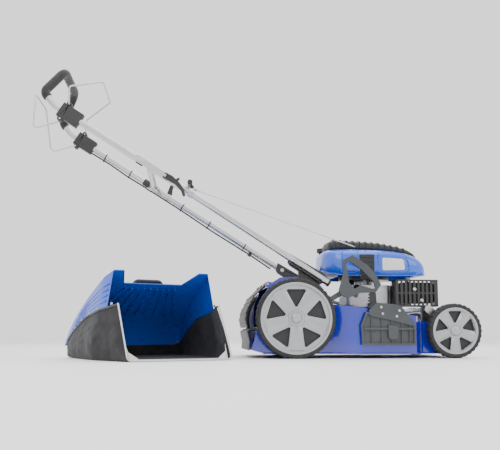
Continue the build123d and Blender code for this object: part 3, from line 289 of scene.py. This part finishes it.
def soften(piece, width=0.0, segments=2):
    """Round the sharp edges by width in millimetres."""
    joined = piece.modifiers.new("join", "NODES")
    joined.node_group = SMOOTHER
    if width:
        edge = piece.modifiers.new("edge", "BEVEL")
        edge.width = width * MM
        edge.segments = segments
        edge.limit_method = "ANGLE"
        edge.angle_limit = SHARP
        edge.harden_normals = True


EDGE_WIDTH = {
    "deck": 2.0, "rear_housing": 2.0, "engine_cowl": 2.0, "top_shroud": 2.0, "muffler_guard": 0.8,
    "height_lever": 3.0, "side_flap": 0.9, "side_flap_bracket": 0.8, "consoles": 3.0,
    "crankcase": 1.5, "cylinder_head": 0.6, "fuel_tank": 3.0, "air_filter_box": 2.0,
    "cam_lever_right": 2.0, "cam_lever_left": 2.0, "handle_brackets": 0.8, "rear_flap": 0.9,
    "height_quadrant": 0.6, "rear_axle": 0.6, "front_axle": 0.6, "carburettor": 1.0,
    "blade": 0.5, "rear_skirt": 1.0,
}
SLOT_OF = {row["node"]: row["material_slot"] for row in frame["record"]["subparts"]}


def dress_frame():
    """Give every CAD node the finish of its slot, and soft edges."""
    for name, node in NODES.items():
        node.data.materials.clear()
        node.data.materials.append(PAINT[SLOT_OF[name]])
        soften(node, EDGE_WIDTH.get(name, 0.0))


dress_frame()


# ------------------------------------------------------------------- stage
FLOOR_REACH = 30.0
FLOOR_WHITE = 0.95
FLOOR_ROUGHNESS = 0.6
WORLD_STRENGTH = 1.5


def make_stage():
    """Pale floor and an even white sky."""
    floor = bpy.data.meshes.new("floor")
    corners = [(x * FLOOR_REACH, y * FLOOR_REACH, 0) for x, y in ((-1, -1), (1, -1), (1, 1),
                                                                  (-1, 1))]
    floor.from_pydata(corners, [], [(0, 1, 2, 3)])
    piece = bpy.data.objects.new("floor", floor)
    bpy.context.scene.collection.objects.link(piece)
    pale = bpy.data.materials.new("pale_floor")
    pale.use_nodes = True
    shader = pale.node_tree.nodes["Principled BSDF"]
    shader.inputs["Base Color"].default_value = (FLOOR_WHITE, FLOOR_WHITE, FLOOR_WHITE, 1)
    shader.inputs["Roughness"].default_value = FLOOR_ROUGHNESS
    floor.materials.append(pale)
    world = bpy.data.worlds.new("studio")
    bpy.context.scene.world = world
    world.use_nodes = True
    sky = world.node_tree.nodes["Background"]
    sky.inputs["Color"].default_value = (1, 1, 1, 1)
    sky.inputs["Strength"].default_value = WORLD_STRENGTH


def softbox(name, place, aim, width, height, power):
    """Rectangular area light in metres, aimed at a point, in watts."""
    light = bpy.data.lights.new(name, "AREA")
    light.shape = "RECTANGLE"
    light.size = width
    light.size_y = height
    light.energy = power
    lamp = bpy.data.objects.new(name, light)
    bpy.context.scene.collection.objects.link(lamp)
    lamp.location = place
    lamp.rotation_euler = (Vector(aim) - Vector(place)).to_track_quat("-Z", "Y").to_euler()


make_stage()
softbox("key", (-1.6, -2.4, 2.6), (0, 0, 0.3), 2.2, 1.6, 42)
softbox("fill", (2.4, -2.0, 1.8), (0.3, 0, 0.3), 1.8, 1.4, 18)
softbox("rim", (0.4, 2.4, 2.6), (0, 0, 0.4), 2.5, 1.2, 30)
softbox("sky", (0, 0, 3.4), (0, 0, 0), 3.0, 3.0, 55)


# ------------------------------------------------------------ mesh helpers
OWN_SLOT = {"sticker_yellow": "tank_white"}    # finishes with no slot of their own
HANDLE_FOOT = (106.5, 279.0)                   # x and z of its foot bolt


def add_piece(name, vertices, faces, slot, body=None, edge=0.0, segments=2):
    """New piece from points in the row frame, with its normals facing out."""
    mesh = bpy.data.meshes.new(name)
    mesh.from_pydata([tuple(point) for point in vertices], [], faces)
    work = bmesh.new()
    work.from_mesh(mesh)
    bmesh.ops.recalc_face_normals(work, faces=work.faces)
    work.to_mesh(mesh)
    work.free()
    piece = bpy.data.objects.new(name, mesh)
    bpy.context.scene.collection.objects.link(piece)
    mesh.materials.append(PAINT[slot])
    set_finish(piece, OWN_SLOT.get(slot, slot))
    soften(piece, edge, segments)
    if body:
        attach(piece, body)
    return piece


def grid_faces(rows, columns, wrap_rows=False, wrap_columns=False):
    """Quads of a grid of points stored row by row."""
    faces = []
    for i in range(rows if wrap_rows else rows - 1):
        for j in range(columns if wrap_columns else columns - 1):
            a, b = i * columns + j, i * columns + (j + 1) % columns
            c = (i + 1) % rows * columns + (j + 1) % columns
            faces.append((a, b, c, (i + 1) % rows * columns + j))
    return faces


def loft(name, rings, slot, body, edge=0.0, capped=True):
    """Closed rings of points joined into one skin, with its ends closed if capped."""
    count = len(rings[0])
    points = [point for ring in rings for point in ring]
    faces = grid_faces(len(rings), count, wrap_columns=True)
    if capped:
        faces.append(tuple(range(count)))
        faces.append(tuple(range(len(points) - count, len(points))))
    return add_piece(name, points, faces, slot, body, edge)


def round_piece(name, place, levels, steps, slot, body):
    """Round skin: place(along, across, up) puts the ring of each (along, radius) level."""
    rings = []
    for along, radius in levels:
        turns = [2 * math.pi * t / steps for t in range(steps)]
        rings.append([place(along, radius * math.cos(turn), radius * math.sin(turn))
                      for turn in turns])
    return loft(name, rings, slot, body)


def side_plate(name, outline, y0, y1, slot, body, edge=0.8):
    """Plate from (x, z) points between two y values."""
    rings = [[at(x, y, z) for x, z in outline] for y in (y0, y1)]
    return loft(name, rings, slot, body, edge)


def strand(name, points, radius, slot, body=None, order=3):
    """Round strand through a NURBS line of points in the row frame."""
    curve = bpy.data.curves.new(name, "CURVE")
    curve.dimensions = "3D"
    curve.bevel_depth = radius * MM
    curve.bevel_resolution = 3
    curve.use_fill_caps = True
    spline = curve.splines.new("NURBS")
    spline.points.add(len(points) - 1)
    for place, point in zip(spline.points, points):
        place.co = (*point, 1)
    spline.order_u = order
    spline.use_endpoint_u = True
    spline.resolution_u = 8
    piece = bpy.data.objects.new(name, curve)
    bpy.context.scene.collection.objects.link(piece)
    curve.materials.append(PAINT[slot])
    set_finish(piece, OWN_SLOT.get(slot, slot))
    if body:
        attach(piece, body)
    return piece


def as_mesh(piece):
    """The same strand as a mesh piece."""
    name, slot = piece.name, piece["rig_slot"]
    bpy.context.view_layer.update()
    shape = piece.evaluated_get(bpy.context.evaluated_depsgraph_get())
    mesh = bpy.data.meshes.new_from_object(shape)
    bpy.data.objects.remove(piece)
    solid = bpy.data.objects.new(name, mesh)
    bpy.context.scene.collection.objects.link(solid)
    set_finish(solid, slot)
    soften(solid)
    return solid


def interpolate(table, x):
    """Value at x of a line through (x, value) points."""
    for (ax, av), (bx, bv) in zip(table, table[1:]):
        if x <= bx:
            return av + (bv - av) * max(0.0, x - ax) / (bx - ax)
    return table[-1][1]


def on_handle(s, y, up):
    """Point at s along the handle from its foot bolt and up above its centre line."""
    x, z = HANDLE_FOOT
    return (x - s * math.cos(SLOPE) + up * math.sin(SLOPE), y,
            z + s * math.sin(SLOPE) + up * math.cos(SLOPE))


# ------------------------------------------------------------------- cords
ROPE_EYE = on_handle(561.5, -160.0, 25.0)
ROPE_OUTLET = (250.0, -100.0, 407.0)
ROPE_DIAMETER = 4.0


def make_rope():
    """Taut starter rope from the shroud's outlet to the eye on the lower tube."""
    shares = (0.99, 0.8, 0.5, 0.2, 0.0)
    points = [at(*(a + (b - a) * share for a, b in zip(ROPE_EYE, ROPE_OUTLET)))
              for share in shares]
    rope = strand("pull_rope", points, ROPE_DIAMETER / 2, "rope_cord", "chassis")
    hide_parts("starter_rope")


make_rope()


# ------------------------------------------------------------------ wheels
TYRE_WALL = 14              # rubber outside the rim
TREAD_STEPS = 10            # across the flat of the tread
LUG_STEPS = 8               # round the tread, for one lug and its groove
LUG_WIDTH = 5               # steps of them that stand proud
LUG_SLANT = 7               # mm across the tread that shift a lug by one step
GROOVE = 2.4
SPOKES = 5
FIRST_SPOKE = 36            # degrees from straight up
SPOKE_FOOT = -8.0           # height of a spoke's edges, from the wheel's outer face
SPOKE_SECTIONS = [(26, 17, 9, -7.0), (34, 21, 11, -2.6), (70, 25, 11, -2.2),
                  (100, 29, 12, -2.2), (109, 33, 12, -3.0), (115, 35, 13, -8.0)]
SPOKE_SIZE = 140            # tyre radius that the sections are drawn for


def turned(name, centre, profile, sign, slot, body, steps=96, wave=None, edge=0.0):
    """Skin turned about an axle from a closed line of (radius, distance across) points."""
    points = []
    for i in range(steps):
        angle = 2 * math.pi * i / steps
        for k, (radius, across) in enumerate(profile):
            r = radius + (wave(i, k, across) if wave else 0)
            points.append(at(centre[0] + r * math.sin(angle), sign * across,
                             centre[1] + r * math.cos(angle)))
    faces = grid_faces(steps, len(profile), wrap_rows=True, wrap_columns=True)
    return add_piece(name, points, faces, slot, body, edge)


def make_tyre(side, centre, radius, width, out, sign, body, lugs):
    """Thin tyre with slanting lugs round its tread."""
    low, rim = out - width, radius - TYRE_WALL
    profile = [(rim - 1, low + 2), (rim + 4, low + 0.3), (radius - 4, low + 1.2),
               (radius - 1.2, low + 4)]
    first = len(profile)
    profile += [(radius, low + 6 + (width - 12) * k / TREAD_STEPS)
                for k in range(TREAD_STEPS + 1)]
    last = len(profile)
    profile += [(radius - 1.2, out - 4), (radius - 4, out - 1.2), (rim + 4, out - 0.3),
                (rim - 1, out - 2)]
    middle = out - width / 2

    def lug(i, k, across):
        if not first - 1 <= k <= last:
            return 0
        slant = abs(across - middle) / LUG_SLANT
        return 0 if (i + slant) % LUG_STEPS < LUG_WIDTH else -GROOVE

    tyre = turned(f"tyre_tread_{side}", centre, profile, sign, "tyre_black", body,
                  lugs * LUG_STEPS, lug)
    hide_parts(side.replace("_", "_tyre_"))


def make_spokes(side, centre, size, out, sign, body):
    """Raised star over the rim's web: spokes with sloping sides."""
    vertices, faces = [], []
    for spoke in range(SPOKES):
        angle = math.radians(FIRST_SPOKE + 360 / SPOKES * spoke)
        rx, rz = math.sin(angle), math.cos(angle)
        start = len(vertices)
        for r, half, flat, top in SPOKE_SECTIONS:
            for across, high in ((-half, SPOKE_FOOT), (-flat, top), (flat, top),
                                 (half, SPOKE_FOOT)):
                x = centre[0] + size * (r * rx + across * rz)
                z = centre[1] + size * (r * rz - across * rx)
                vertices.append(at(x, sign * (out + high), z))
        faces += [tuple(start + v for v in face)
                  for face in grid_faces(len(SPOKE_SECTIONS), 4, wrap_columns=True)]
        faces.append((start, start + 1, start + 2, start + 3))
        end = start + 4 * len(SPOKE_SECTIONS) - 4
        faces.append((end + 3, end + 2, end + 1, end))
    add_piece(f"spoke_star_{side}", vertices, faces, "wheel_silver", body, 1.6, 3)


def make_wheel(side, centre, radius, width, out, sign, body, lugs):
    """Tyre, spokes, rim lip, hub cap, and a black disc behind the spokes that paints shade into the windows
    between them.
    """
    make_tyre(side, centre, radius, width, out, sign, body, lugs)
    size = radius / SPOKE_SIZE
    make_spokes(side, centre, size, out, sign, body)
    lip, hub = radius - TYRE_WALL, 24 * size
    band = [(lip - 9, out - 9), (lip - 7, out - 4), (lip - 4, out - 1.5), (lip - 0.5, out - 1.5),
            (lip - 0.5, out - 9)]
    cap = [(0.3, out + 5.5), (7, out + 5), (13, out + 3.4), (16.5, out + 1), (18.5, out - 3),
           (19, out - 8), (0.3, out - 8)]
    boss = [(20, out - 9), (20.5, out - 4), (24, out - 2.4), (28, out - 3), (31, out - 9)]
    # disc: black disc behind the spoke windows; painted shade standing in for the dark seen through the open
    # windows
    disc = [(hub, out - 19.5), (lip - 10, out - 19.5), (lip - 10, out - 16.5),
            (hub, out - 16.5)]
    dish = [(lip - 9.5, out - 18), (lip - 9.5, out - 4), (lip - 10.5, out - 4),
            (lip - 12, out - 18)]
    for name, profile, slot, steps, edge in (("rim_lip", band, "wheel_silver", 96, 0.6),
                                             ("cap_dome", cap, "wheel_silver", 48, 0.0),
                                             ("hub_ring", boss, "wheel_silver", 64, 0.5),
                                             ("window_painted_shade", disc, "black_plastic", 64, 0.0),
                                             ("window_rim", dish, "wheel_silver", 96, 0.0)):
        turned(f"{name}_{side}", centre, profile, sign, slot, body, steps, edge=edge)


for direction, hand in SIDES:
    for end, x, radius, width, out, lugs in (("rear", 0, 140.0, 46.0, 249.0, 44),
                                             ("front", 570, 97.0, 42.0, 239.0, 32)):
        make_wheel(f"{end}_{hand}", (x, radius), radius, width, out, direction,
                   f"{end}_wheel_{hand}", lugs)


# --------------------------------------------------------------- grass bag
BAG_PLACE = (-394.5, -400.0)
BAG_SIDES = ((-1, "left"), (1, "right"))
BAG_HALF = 230
BAG_BACK = 520
BAG_CORNER = 40
BAG_MIDDLE = 262
SEAM = [(0, 4), (98, 180), (325, 142), (430, 98), (BAG_BACK, 43)]
RIDGE = [(98, 180), (157, 293), (253, 254), (336, 217), (407, 174), (464, 132), (500, 93),
         (BAG_BACK, 49)]
WIDTHS = [(0, 177), (200, BAG_HALF), (BAG_BACK, BAG_HALF)]
LEAN = 0.18
LEAN_FROM = 43              # height above which the walls stand inwards
CLOTH_LEVELS = 22
CLOTH_LOW = 2.0
CLOTH_THICK = 1.8
BULGE = 4                   # of the wall between its seam and its foot
FOLD_SIZE = (0.011, 0.011, 0.02)
FOLD_DEPTH = 7
CREASE_SIZE = 3.1
CREASE_DEPTH = 3
FULL_BULGE = 90             # walls lower than this bulge less
FOOT_TUCK = 7


def in_bag(x, y, z):
    """Point of the bag's own frame: x across its mouth, y into it."""
    cos, sin = math.cos(BAG_YAW), math.sin(BAG_YAW)
    return at(BAG_PLACE[0] + x * cos - y * sin, BAG_PLACE[1] + x * sin + y * cos, z)


def lean(z):
    """How far the bag's wall stands inwards at a height."""
    return max(0.0, z - LEAN_FROM) * LEAN


def bag_outline():
    """Points and outward directions round the flanks and back, from the mouth's left corner."""
    turn_at = BAG_BACK - BAG_CORNER
    rows = [(-interpolate(WIDTHS, y), y, -1.0, -0.08) for y in range(5, turn_at, 12)]
    for k in range(1, 9):
        turn = math.radians(90 * k / 9)
        rows.append((-BAG_HALF + BAG_CORNER * (1 - math.cos(turn)),
                     turn_at + BAG_CORNER * math.sin(turn), -math.cos(turn), math.sin(turn)))
    rows += [(x, BAG_BACK, 0.0, 1.0) for x in range(-186, 1, 15)]
    return rows + [(-x, y, -nx, ny) for x, y, nx, ny in reversed(rows[:-1])]


def cloth_wall(outline):
    """Points of the sagging wall, column by column from the ground to the seam."""
    points = []
    for x, y, nx, ny in outline:
        top = interpolate(SEAM, y)
        for k in range(CLOTH_LEVELS + 1):
            share = k / CLOTH_LEVELS
            z = CLOTH_LOW + (top - CLOTH_LOW) * share
            spot = Vector([place * size for place, size in zip((x, y, z), FOLD_SIZE)])
            folds = noise.noise(spot) * FOLD_DEPTH + noise.noise(spot * CREASE_SIZE) * CREASE_DEPTH
            out = math.sin(math.pi * share) * (BULGE + folds) * min(1.0, top / FULL_BULGE) - lean(z)
            foot = FOOT_TUCK * (1 - min(1.0, share * 5)) ** 2
            points.append(in_bag(x + nx * (out - foot), y + ny * (out - foot), z))
    return points


def make_fabric():
    """Sagging fabric tub: flanks and back up to the seam, and the bottom."""
    outline = bag_outline()
    points = cloth_wall(outline)
    faces = grid_faces(len(outline), CLOTH_LEVELS + 1)
    inner = [column * (CLOTH_LEVELS + 1) for column in range(len(outline))]
    for share in (0.93, 0.8, 0.6, 0.35, 0.12):
        ring = []
        for x, y, _, _ in outline:
            px, py = x * share, BAG_MIDDLE + (y - BAG_MIDDLE) * share
            lift = 1.6 + 1.4 * noise.noise(Vector((px * 0.02, py * 0.02, 3.0)))
            ring.append(len(points))
            points.append(in_bag(px, py, lift))
        for a in range(len(ring) - 1):
            faces.append((inner[a], inner[a + 1], ring[a + 1], ring[a]))
        faces.append((inner[-1], inner[0], ring[0], ring[-1]))
        inner = ring
    faces.append(tuple(inner))
    cloth = add_piece("bag_cloth_shell", points, faces, "bag_cloth")
    thick = cloth.modifiers.new("thick", "SOLIDIFY")
    thick.thickness = CLOTH_THICK * MM
    thick.offset = -1
    round_off = cloth.modifiers.new("round", "SUBSURF")
    round_off.levels = 1
    round_off.render_levels = 1
    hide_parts("bag_fabric")
    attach(cloth, "grass_bag")


def make_flank_ribs(side, word):
    """Moulded ribs along one flank of the lid, between the seam and the ridge."""
    for k, rise in enumerate((16, 28, 40, 52)):
        line = []
        for y in range(170, 480 - 18 * k, 22):
            low, high = interpolate(SEAM, y), interpolate(RIDGE, y)
            z = min(low + rise * (high - low) / 75, high - 8)
            line.append(in_bag(side * (interpolate(WIDTHS, y) - lean(z) + 0.3), y, z))
        strand(f"bag_flank_rib_{word}_{k}", line, 2.2, "lid_blue", "grass_bag")


def make_flank_screws(side, word):
    """Screws that hold the fabric to the lid, just above the seam."""
    for k, y in enumerate((135, 215, 290, 365, 430)):
        z = interpolate(SEAM, y) + 9
        x = side * (interpolate(WIDTHS, y) - lean(z))

        def head(along, across, up):
            return in_bag(x + side * along, y + across, z + up)

        round_piece(f"bag_screw_{word}_{k}", head, ((-2.5, 5.2), (1.4, 5.2), (2.6, 3.8)), 16,
                    "fastener_steel", "grass_bag")


def make_bag_trim():
    """Seam band, flank ribs, screws and the pale mouth plates."""
    seam = []
    for x, y, nx, ny in bag_outline():
        if y > SEAM[1][0] - 2:
            z = interpolate(SEAM, y)
            out = 1.5 - lean(z)
            seam.append(in_bag(x + nx * out, y + ny * out, z))
    strand("bag_seam_band", seam, 3.6, "grey_plastic", "grass_bag")
    for side, word in BAG_SIDES:
        make_flank_ribs(side, word)
        make_flank_screws(side, word)
    for k in range(9):
        spread = -150 + 37.5 * k
        rib = [in_bag(spread * 0.62, 262, 243), in_bag(spread * 0.8, 336, 206),
               in_bag(spread, 420, 155)]
        strand(f"bag_inner_rib_{k}", rib, 2.4, "lid_blue", "grass_bag")
    for side, word in BAG_SIDES:
        outline = [(side * 170, 30), (side * 140, 9), (side * 140, 6), (side * 173, 5),
                   (side * 175, 55)]
        rings = [[in_bag(x, y + 6 + z * 0.5, z) for x, z in outline] for y in (0, 2.5)]
        loft(f"bag_gusset_{word}", rings, "tank_white", "grass_bag", 0.6)
    lip = [in_bag(-168, 5, 5.5), in_bag(-80, 5, 4.8), in_bag(80, 5, 4.8), in_bag(168, 5, 5.5)]
    strand("bag_bottom_lip", lip, 2.4, "tank_white", "grass_bag")


make_fabric()
make_bag_trim()


# ------------------------------------------------------------ engine covers
COVER_WALL = 2.5
COWL_POWER = 5.0            # how square a cover's section is; 2 is an ellipse
SHROUD_POWER = 5.5
HUMP_STEPS = 28
COWL = [(124, 52, 322, 374), (127, 74, 318, 386), (133, 92, 314, 394), (143, 111, 310, 399),
        (158, 128, 306, 402), (176, 140, 301, 403), (200, 147, 299, 403),
        (235, 149.6, 298, 403), (320, 149.6, 298, 402), (385, 149, 298, 397),
        (430, 147.5, 299, 390), (462, 143, 300, 379), (483, 134, 301, 367),
        (498, 121, 302, 352), (507, 104, 303, 338), (512, 84, 305, 326)]
COWL_ROWS = [(x, half, half, low, top) for x, half, low, top in COWL]
SHROUD_ROWS = [(146, 40, 72, 398, 421), (152, 44, 86, 398, 432), (164, 47, 95, 399, 437),
               (186, 48, 99, 400, 437), (203, 52, 100, 400, 435.5), (214, 90, 100, 400, 434.5),
               (236, 99, 100, 400, 433.5), (290, 100, 100, 399, 431), (344, 100, 100, 396, 426),
               (408, 99, 99, 390, 414), (445, 95, 95, 383, 404), (470, 88, 88, 374, 391),
               (484, 74, 74, 368, 378)]


def hump(rows, power):
    """Rings across the mower from (x, left, right, bottom, top) rows, open below."""
    rings = []
    for x, left, right, bottom, top in rows:
        ring = []
        for k in range(HUMP_STEPS + 1):
            turn = math.pi * k / HUMP_STEPS
            cos, sin = math.cos(turn), math.sin(turn)
            half = left if cos > 0 else right
            across = math.copysign(half * abs(cos) ** (2 / power), cos)
            ring.append(at(x, across, bottom + (top - bottom) * abs(sin) ** (2 / power)))
        rings.append(ring)
    return rings


def cover(name, rows, slot, replaced, power):
    """Moulded cover over the engine: an open hump with rounded ends."""
    rings = hump(rows, power)
    count = len(rings[0])
    points = [point for ring in rings for point in ring]
    faces = grid_faces(len(rings), count)
    faces += [tuple(range(count)), tuple(range(len(points) - count, len(points)))]
    piece = add_piece(name, points, faces, slot)
    wall = piece.modifiers.new("wall", "SOLIDIFY")
    wall.thickness = COVER_WALL * MM
    wall.offset = -1
    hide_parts(replaced)
    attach(piece, "chassis")


def make_covers():
    """Painted cowl and black top shroud."""
    cover("cowl_shell", COWL_ROWS, "cowl_paint", "engine_cowl", COWL_POWER)
    cover("shroud_shell", SHROUD_ROWS, "black_plastic", "top_shroud", SHROUD_POWER)


def make_tank():
    """Fuel tank behind the covers, and its neck."""
    outline = [(140, -30), (152, -42), (186, -42), (197, -30), (197, 96), (186, 106),
               (152, 106), (140, 96)]
    mx, my = 168, 32
    rings = []
    for z, grow in ((303, -6), (309, 0), (366, 0), (372, -6)):
        rings.append([at(mx + (x - mx) * (1 + grow / 60), my + (y - my) * (1 + grow / 150), z)
                      for x, y in outline])
    tank = loft("tank_body", rings, "tank_white", None, 2.0)
    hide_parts("fuel_tank")
    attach(tank, "chassis")

    def neck(z, x, y):
        return at(158 + x, 84 + y, z)

    round_piece("tank_neck", neck, ((368, 17), (404, 17), (405, 16)), 32, "black_plastic",
                "chassis")


make_covers()
make_tank()


# -------------------------------------------------------------- engine trim
COWL_SIDE = 149.0
LABEL_RISE = 1.4
RECESS_FACE = -150.6
RECESS_BARS = 5
SHROUD_RIBS = 12
RIB_RISE = 1.2


def row_at(rows, x):
    """Left, right, bottom and top of a cover at x."""
    return [interpolate([(row[0], row[k]) for row in rows], x) for k in (1, 2, 3, 4)]


def make_cowl_sides():
    """Embossed panel lines and a blank label on each side of the cowl."""
    rear = [(180, 312), (182, 384), (196, 391), (240, 391), (243, 380), (243, 318),
            (236, 309), (190, 306)]
    front = [(318, 314), (318, 382), (330, 388), (405, 381), (428, 368), (438, 316),
             (428, 308), (326, 307)]
    label = [(334, 322), (334, 360), (338, 364), (408, 360), (414, 354), (418, 326),
             (414, 320), (338, 318)]
    for sign, word in SIDES:
        y = sign * COWL_SIDE
        for name, outline in (("panel", rear), ("front", front)):
            line = [at(x, y, z) for x, z in outline]
            strand(f"cowl_{name}_line_{word}", line + line[:2], 1.3, "cowl_paint", "chassis")
        side_plate(f"cowl_label_{word}", label, y - sign * 1.5, y + sign * LABEL_RISE,
                   "tank_white", "chassis", 0.3)


def make_cowl_trim():
    """Recess lining and bars, ribs over the shroud, and the cowl's lower edges."""
    lining = [(250, 286), (304, 286), (304, 376), (250, 376)]
    side_plate("cowl_recess_lining", lining, RECESS_FACE, -145.0, "black_plastic", "chassis", 1.0)
    for k in range(RECESS_BARS):
        z = 296 + 17 * k
        bar = [(254, z), (300, z), (300, z + 5), (254, z + 5)]
        side_plate(f"cowl_recess_bar_{k}", bar, RECESS_FACE - 2, RECESS_FACE + 0.6,
                   "black_plastic", "chassis", 1.0)
    for k in range(SHROUD_RIBS):
        x = 168 + 24 * k
        left, right, low, top = row_at(SHROUD_ROWS, x)
        row = (x, left + RIB_RISE, right + RIB_RISE, low + 4, top + RIB_RISE)
        strand(f"shroud_rib_{k}", hump([row], SHROUD_POWER)[0], 2.4, "black_plastic", "chassis")
    for sign, word in SIDES:
        edge = [at(x, sign * half, low) for x, half, low, _ in COWL]
        strand(f"cowl_lower_edge_{word}", edge, 2.0, "cowl_paint", "chassis")


make_cowl_sides()
make_cowl_trim()


# --------------------------------------------------- deck and side flap trim
DECK_SIDE = -184.35
DECK_EDGE_Z = 18
EDGE_RADIUS = 3.0
GUARD_HEAD = ((-126, 6.5), (-132, 6.5), (-133.5, 4.5))
CARRIER_HEAD = ((-249, 4.5), (-253, 4.5), (-254, 3.2))


def side_head(name, x, z, levels, steps):
    """Round head on the mower's side, from (y, radius) levels."""
    def place(y, across, up):
        return at(x + across, y, z + up)

    round_piece(name, place, levels, steps, "fastener_steel", "chassis")


def make_deck_trim():
    """Generic shield on the deck's side, its lower edge and the guard's screws."""
    shield = [(-54, 108), (-4, 108), (-4, 78), (-12, 66), (-29, 59), (-46, 66), (-54, 78)]
    side_plate("deck_sticker_edge", shield, DECK_SIDE + 0.3, DECK_SIDE - 0.15, "black_plastic",
               "chassis", 0.1)
    inner = [(-51, 105), (-7, 105), (-7, 79), (-14, 69), (-29, 62.5), (-44, 69), (-51, 79)]
    side_plate("deck_sticker", inner, DECK_SIDE, DECK_SIDE - 0.4, "sticker_yellow", "chassis", 0.1)
    edge = [(-108, 184), (118, 184), (156, 196), (208, 226), (240, 228.5), (405, 228.5),
            (440, 216), (466, 182), (520, 180.5), (560, 172), (606, 122)]
    for sign, word in SIDES:
        line = [at(x, sign * y, DECK_EDGE_Z) for x, y in edge]
        strand(f"deck_rolled_edge_{word}", line, EDGE_RADIUS, "deck_paint", "chassis", 2)
    front = [at(x, y, DECK_EDGE_Z)
             for x, y in ((608, -112), (612.5, -80), (613, 0), (612.5, 80), (608, 112))]
    strand("deck_rolled_edge_front", front, EDGE_RADIUS, "deck_paint", "chassis")
    for k, (x, z) in enumerate(((459, 250), (486, 208.5))):
        side_head(f"guard_screw_{k}", x, z, GUARD_HEAD, 16)


def make_flap_plate():
    """Carrier plate above the side flap, its bolts, and the flap's latch and cross bar."""
    plate = [(255, 168), (262, 176), (283, 195), (345, 190), (372, 181), (392, 154), (424, 116),
             (418, 112), (330, 134), (262, 148), (254, 152)]
    side_plate("flap_carrier", plate, -250.5, -246.5, "grey_plastic", "chassis", 1.2)
    for k, (x, z) in enumerate(((298, 179), (363, 167), (303, 156), (353, 147))):
        side_head(f"flap_carrier_bolt_{k}", x, z, CARRIER_HEAD, 12)
    latch = [(322, 118), (358, 112), (357, 74), (350, 66), (329, 66), (322, 74)]
    side_plate("flap_latch", latch, -254.5, -248.5, "grey_plastic", "side_discharge_flap", 1.5)
    bar = [(236, 100), (408, 100), (408, 108), (236, 108)]
    side_plate("flap_cross_bar", bar, -251.0, -246.0, "grey_plastic", "side_discharge_flap", 1.0)


make_deck_trim()
make_flap_plate()


# -------------------------------------------------------------- handle trim
HANDLE_HALF = 185.0         # from the centre line to each tube
CABLE_APART = 6.0           # of each cable from the left tube's line
CABLE_RADIUS = 2.5
TIE_PLACES = ((300, "chassis"), (470, "chassis"), (600, "chassis"), (850, "folding_handle"),
              (970, "folding_handle"))
TIE_LOOP = ((-11, -9), (-12, -19), (-6, -24), (6, -24), (12, -19), (11, -9))
LINK_LINE = ((736, -18), (748, -19), (757, -19.5), (772, -18))     # (s, up) over the fold
RING_CHAMFER = 0.8


def tube_ring(name, s, y, radius, length, body):
    """Short black sleeve round a handle tube."""
    half, low = length / 2, radius - RING_CHAMFER
    levels = ((-half, low), (RING_CHAMFER - half, radius), (half - RING_CHAMFER, radius),
              (half, low))

    def place(along, across, up):
        return at(*on_handle(s + along, y + across, up))

    round_piece(name, place, levels, 24, "black_plastic", body)


def make_handle_trim():
    """Cable ties, tube plugs, fold collars and the cable links over the fold."""
    for k, (s, body) in enumerate(TIE_PLACES):
        tube_ring(f"cable_tie_{k}", s, HANDLE_HALF, 12.9, 5, body)
        loop = [at(*on_handle(s, HANDLE_HALF + across, up)) for across, up in TIE_LOOP]
        strand(f"cable_tie_loop_{k}", loop, 1.4, "black_plastic", body)
    for sign, word in SIDES:
        y = sign * HANDLE_HALF
        tube_ring(f"foot_plug_{word}", -23, y, 13.2, 9, "chassis")
        tube_ring(f"tube_collar_{word}", 775, y, 14.2, 26, "folding_handle")
    for k, y in enumerate((HANDLE_HALF - CABLE_APART, HANDLE_HALF + CABLE_APART)):
        points = [at(*on_handle(s, y, up)) for s, up in LINK_LINE]
        cable = as_mesh(strand(f"cable_link_{k}", points, CABLE_RADIUS, "cable_sheath"))
        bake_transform(cable)


make_handle_trim()


# ------------------------------------------------------------ rear flap ribs
FLAP_SKIN = [(108, -164), (136, -171), (170, -166), (222, -140), (262, -101.5)]     # (z, x)
FLAP_RIB_HEIGHTS = (122, 142, 162, 182, 202, 222)
FLAP_RIB_Y = (-150, -75, 0, 75, 150)


def make_flap_ribs():
    """Cross ribs on the bulging rear door."""
    for k, z in enumerate(FLAP_RIB_HEIGHTS):
        x = interpolate(FLAP_SKIN, z) - 0.6
        rib = [at(x, y, z) for y in FLAP_RIB_Y]
        strand(f"flap_rib_{k}", rib, 2.2, "black_plastic", "rear_discharge_flap")


make_flap_ribs()
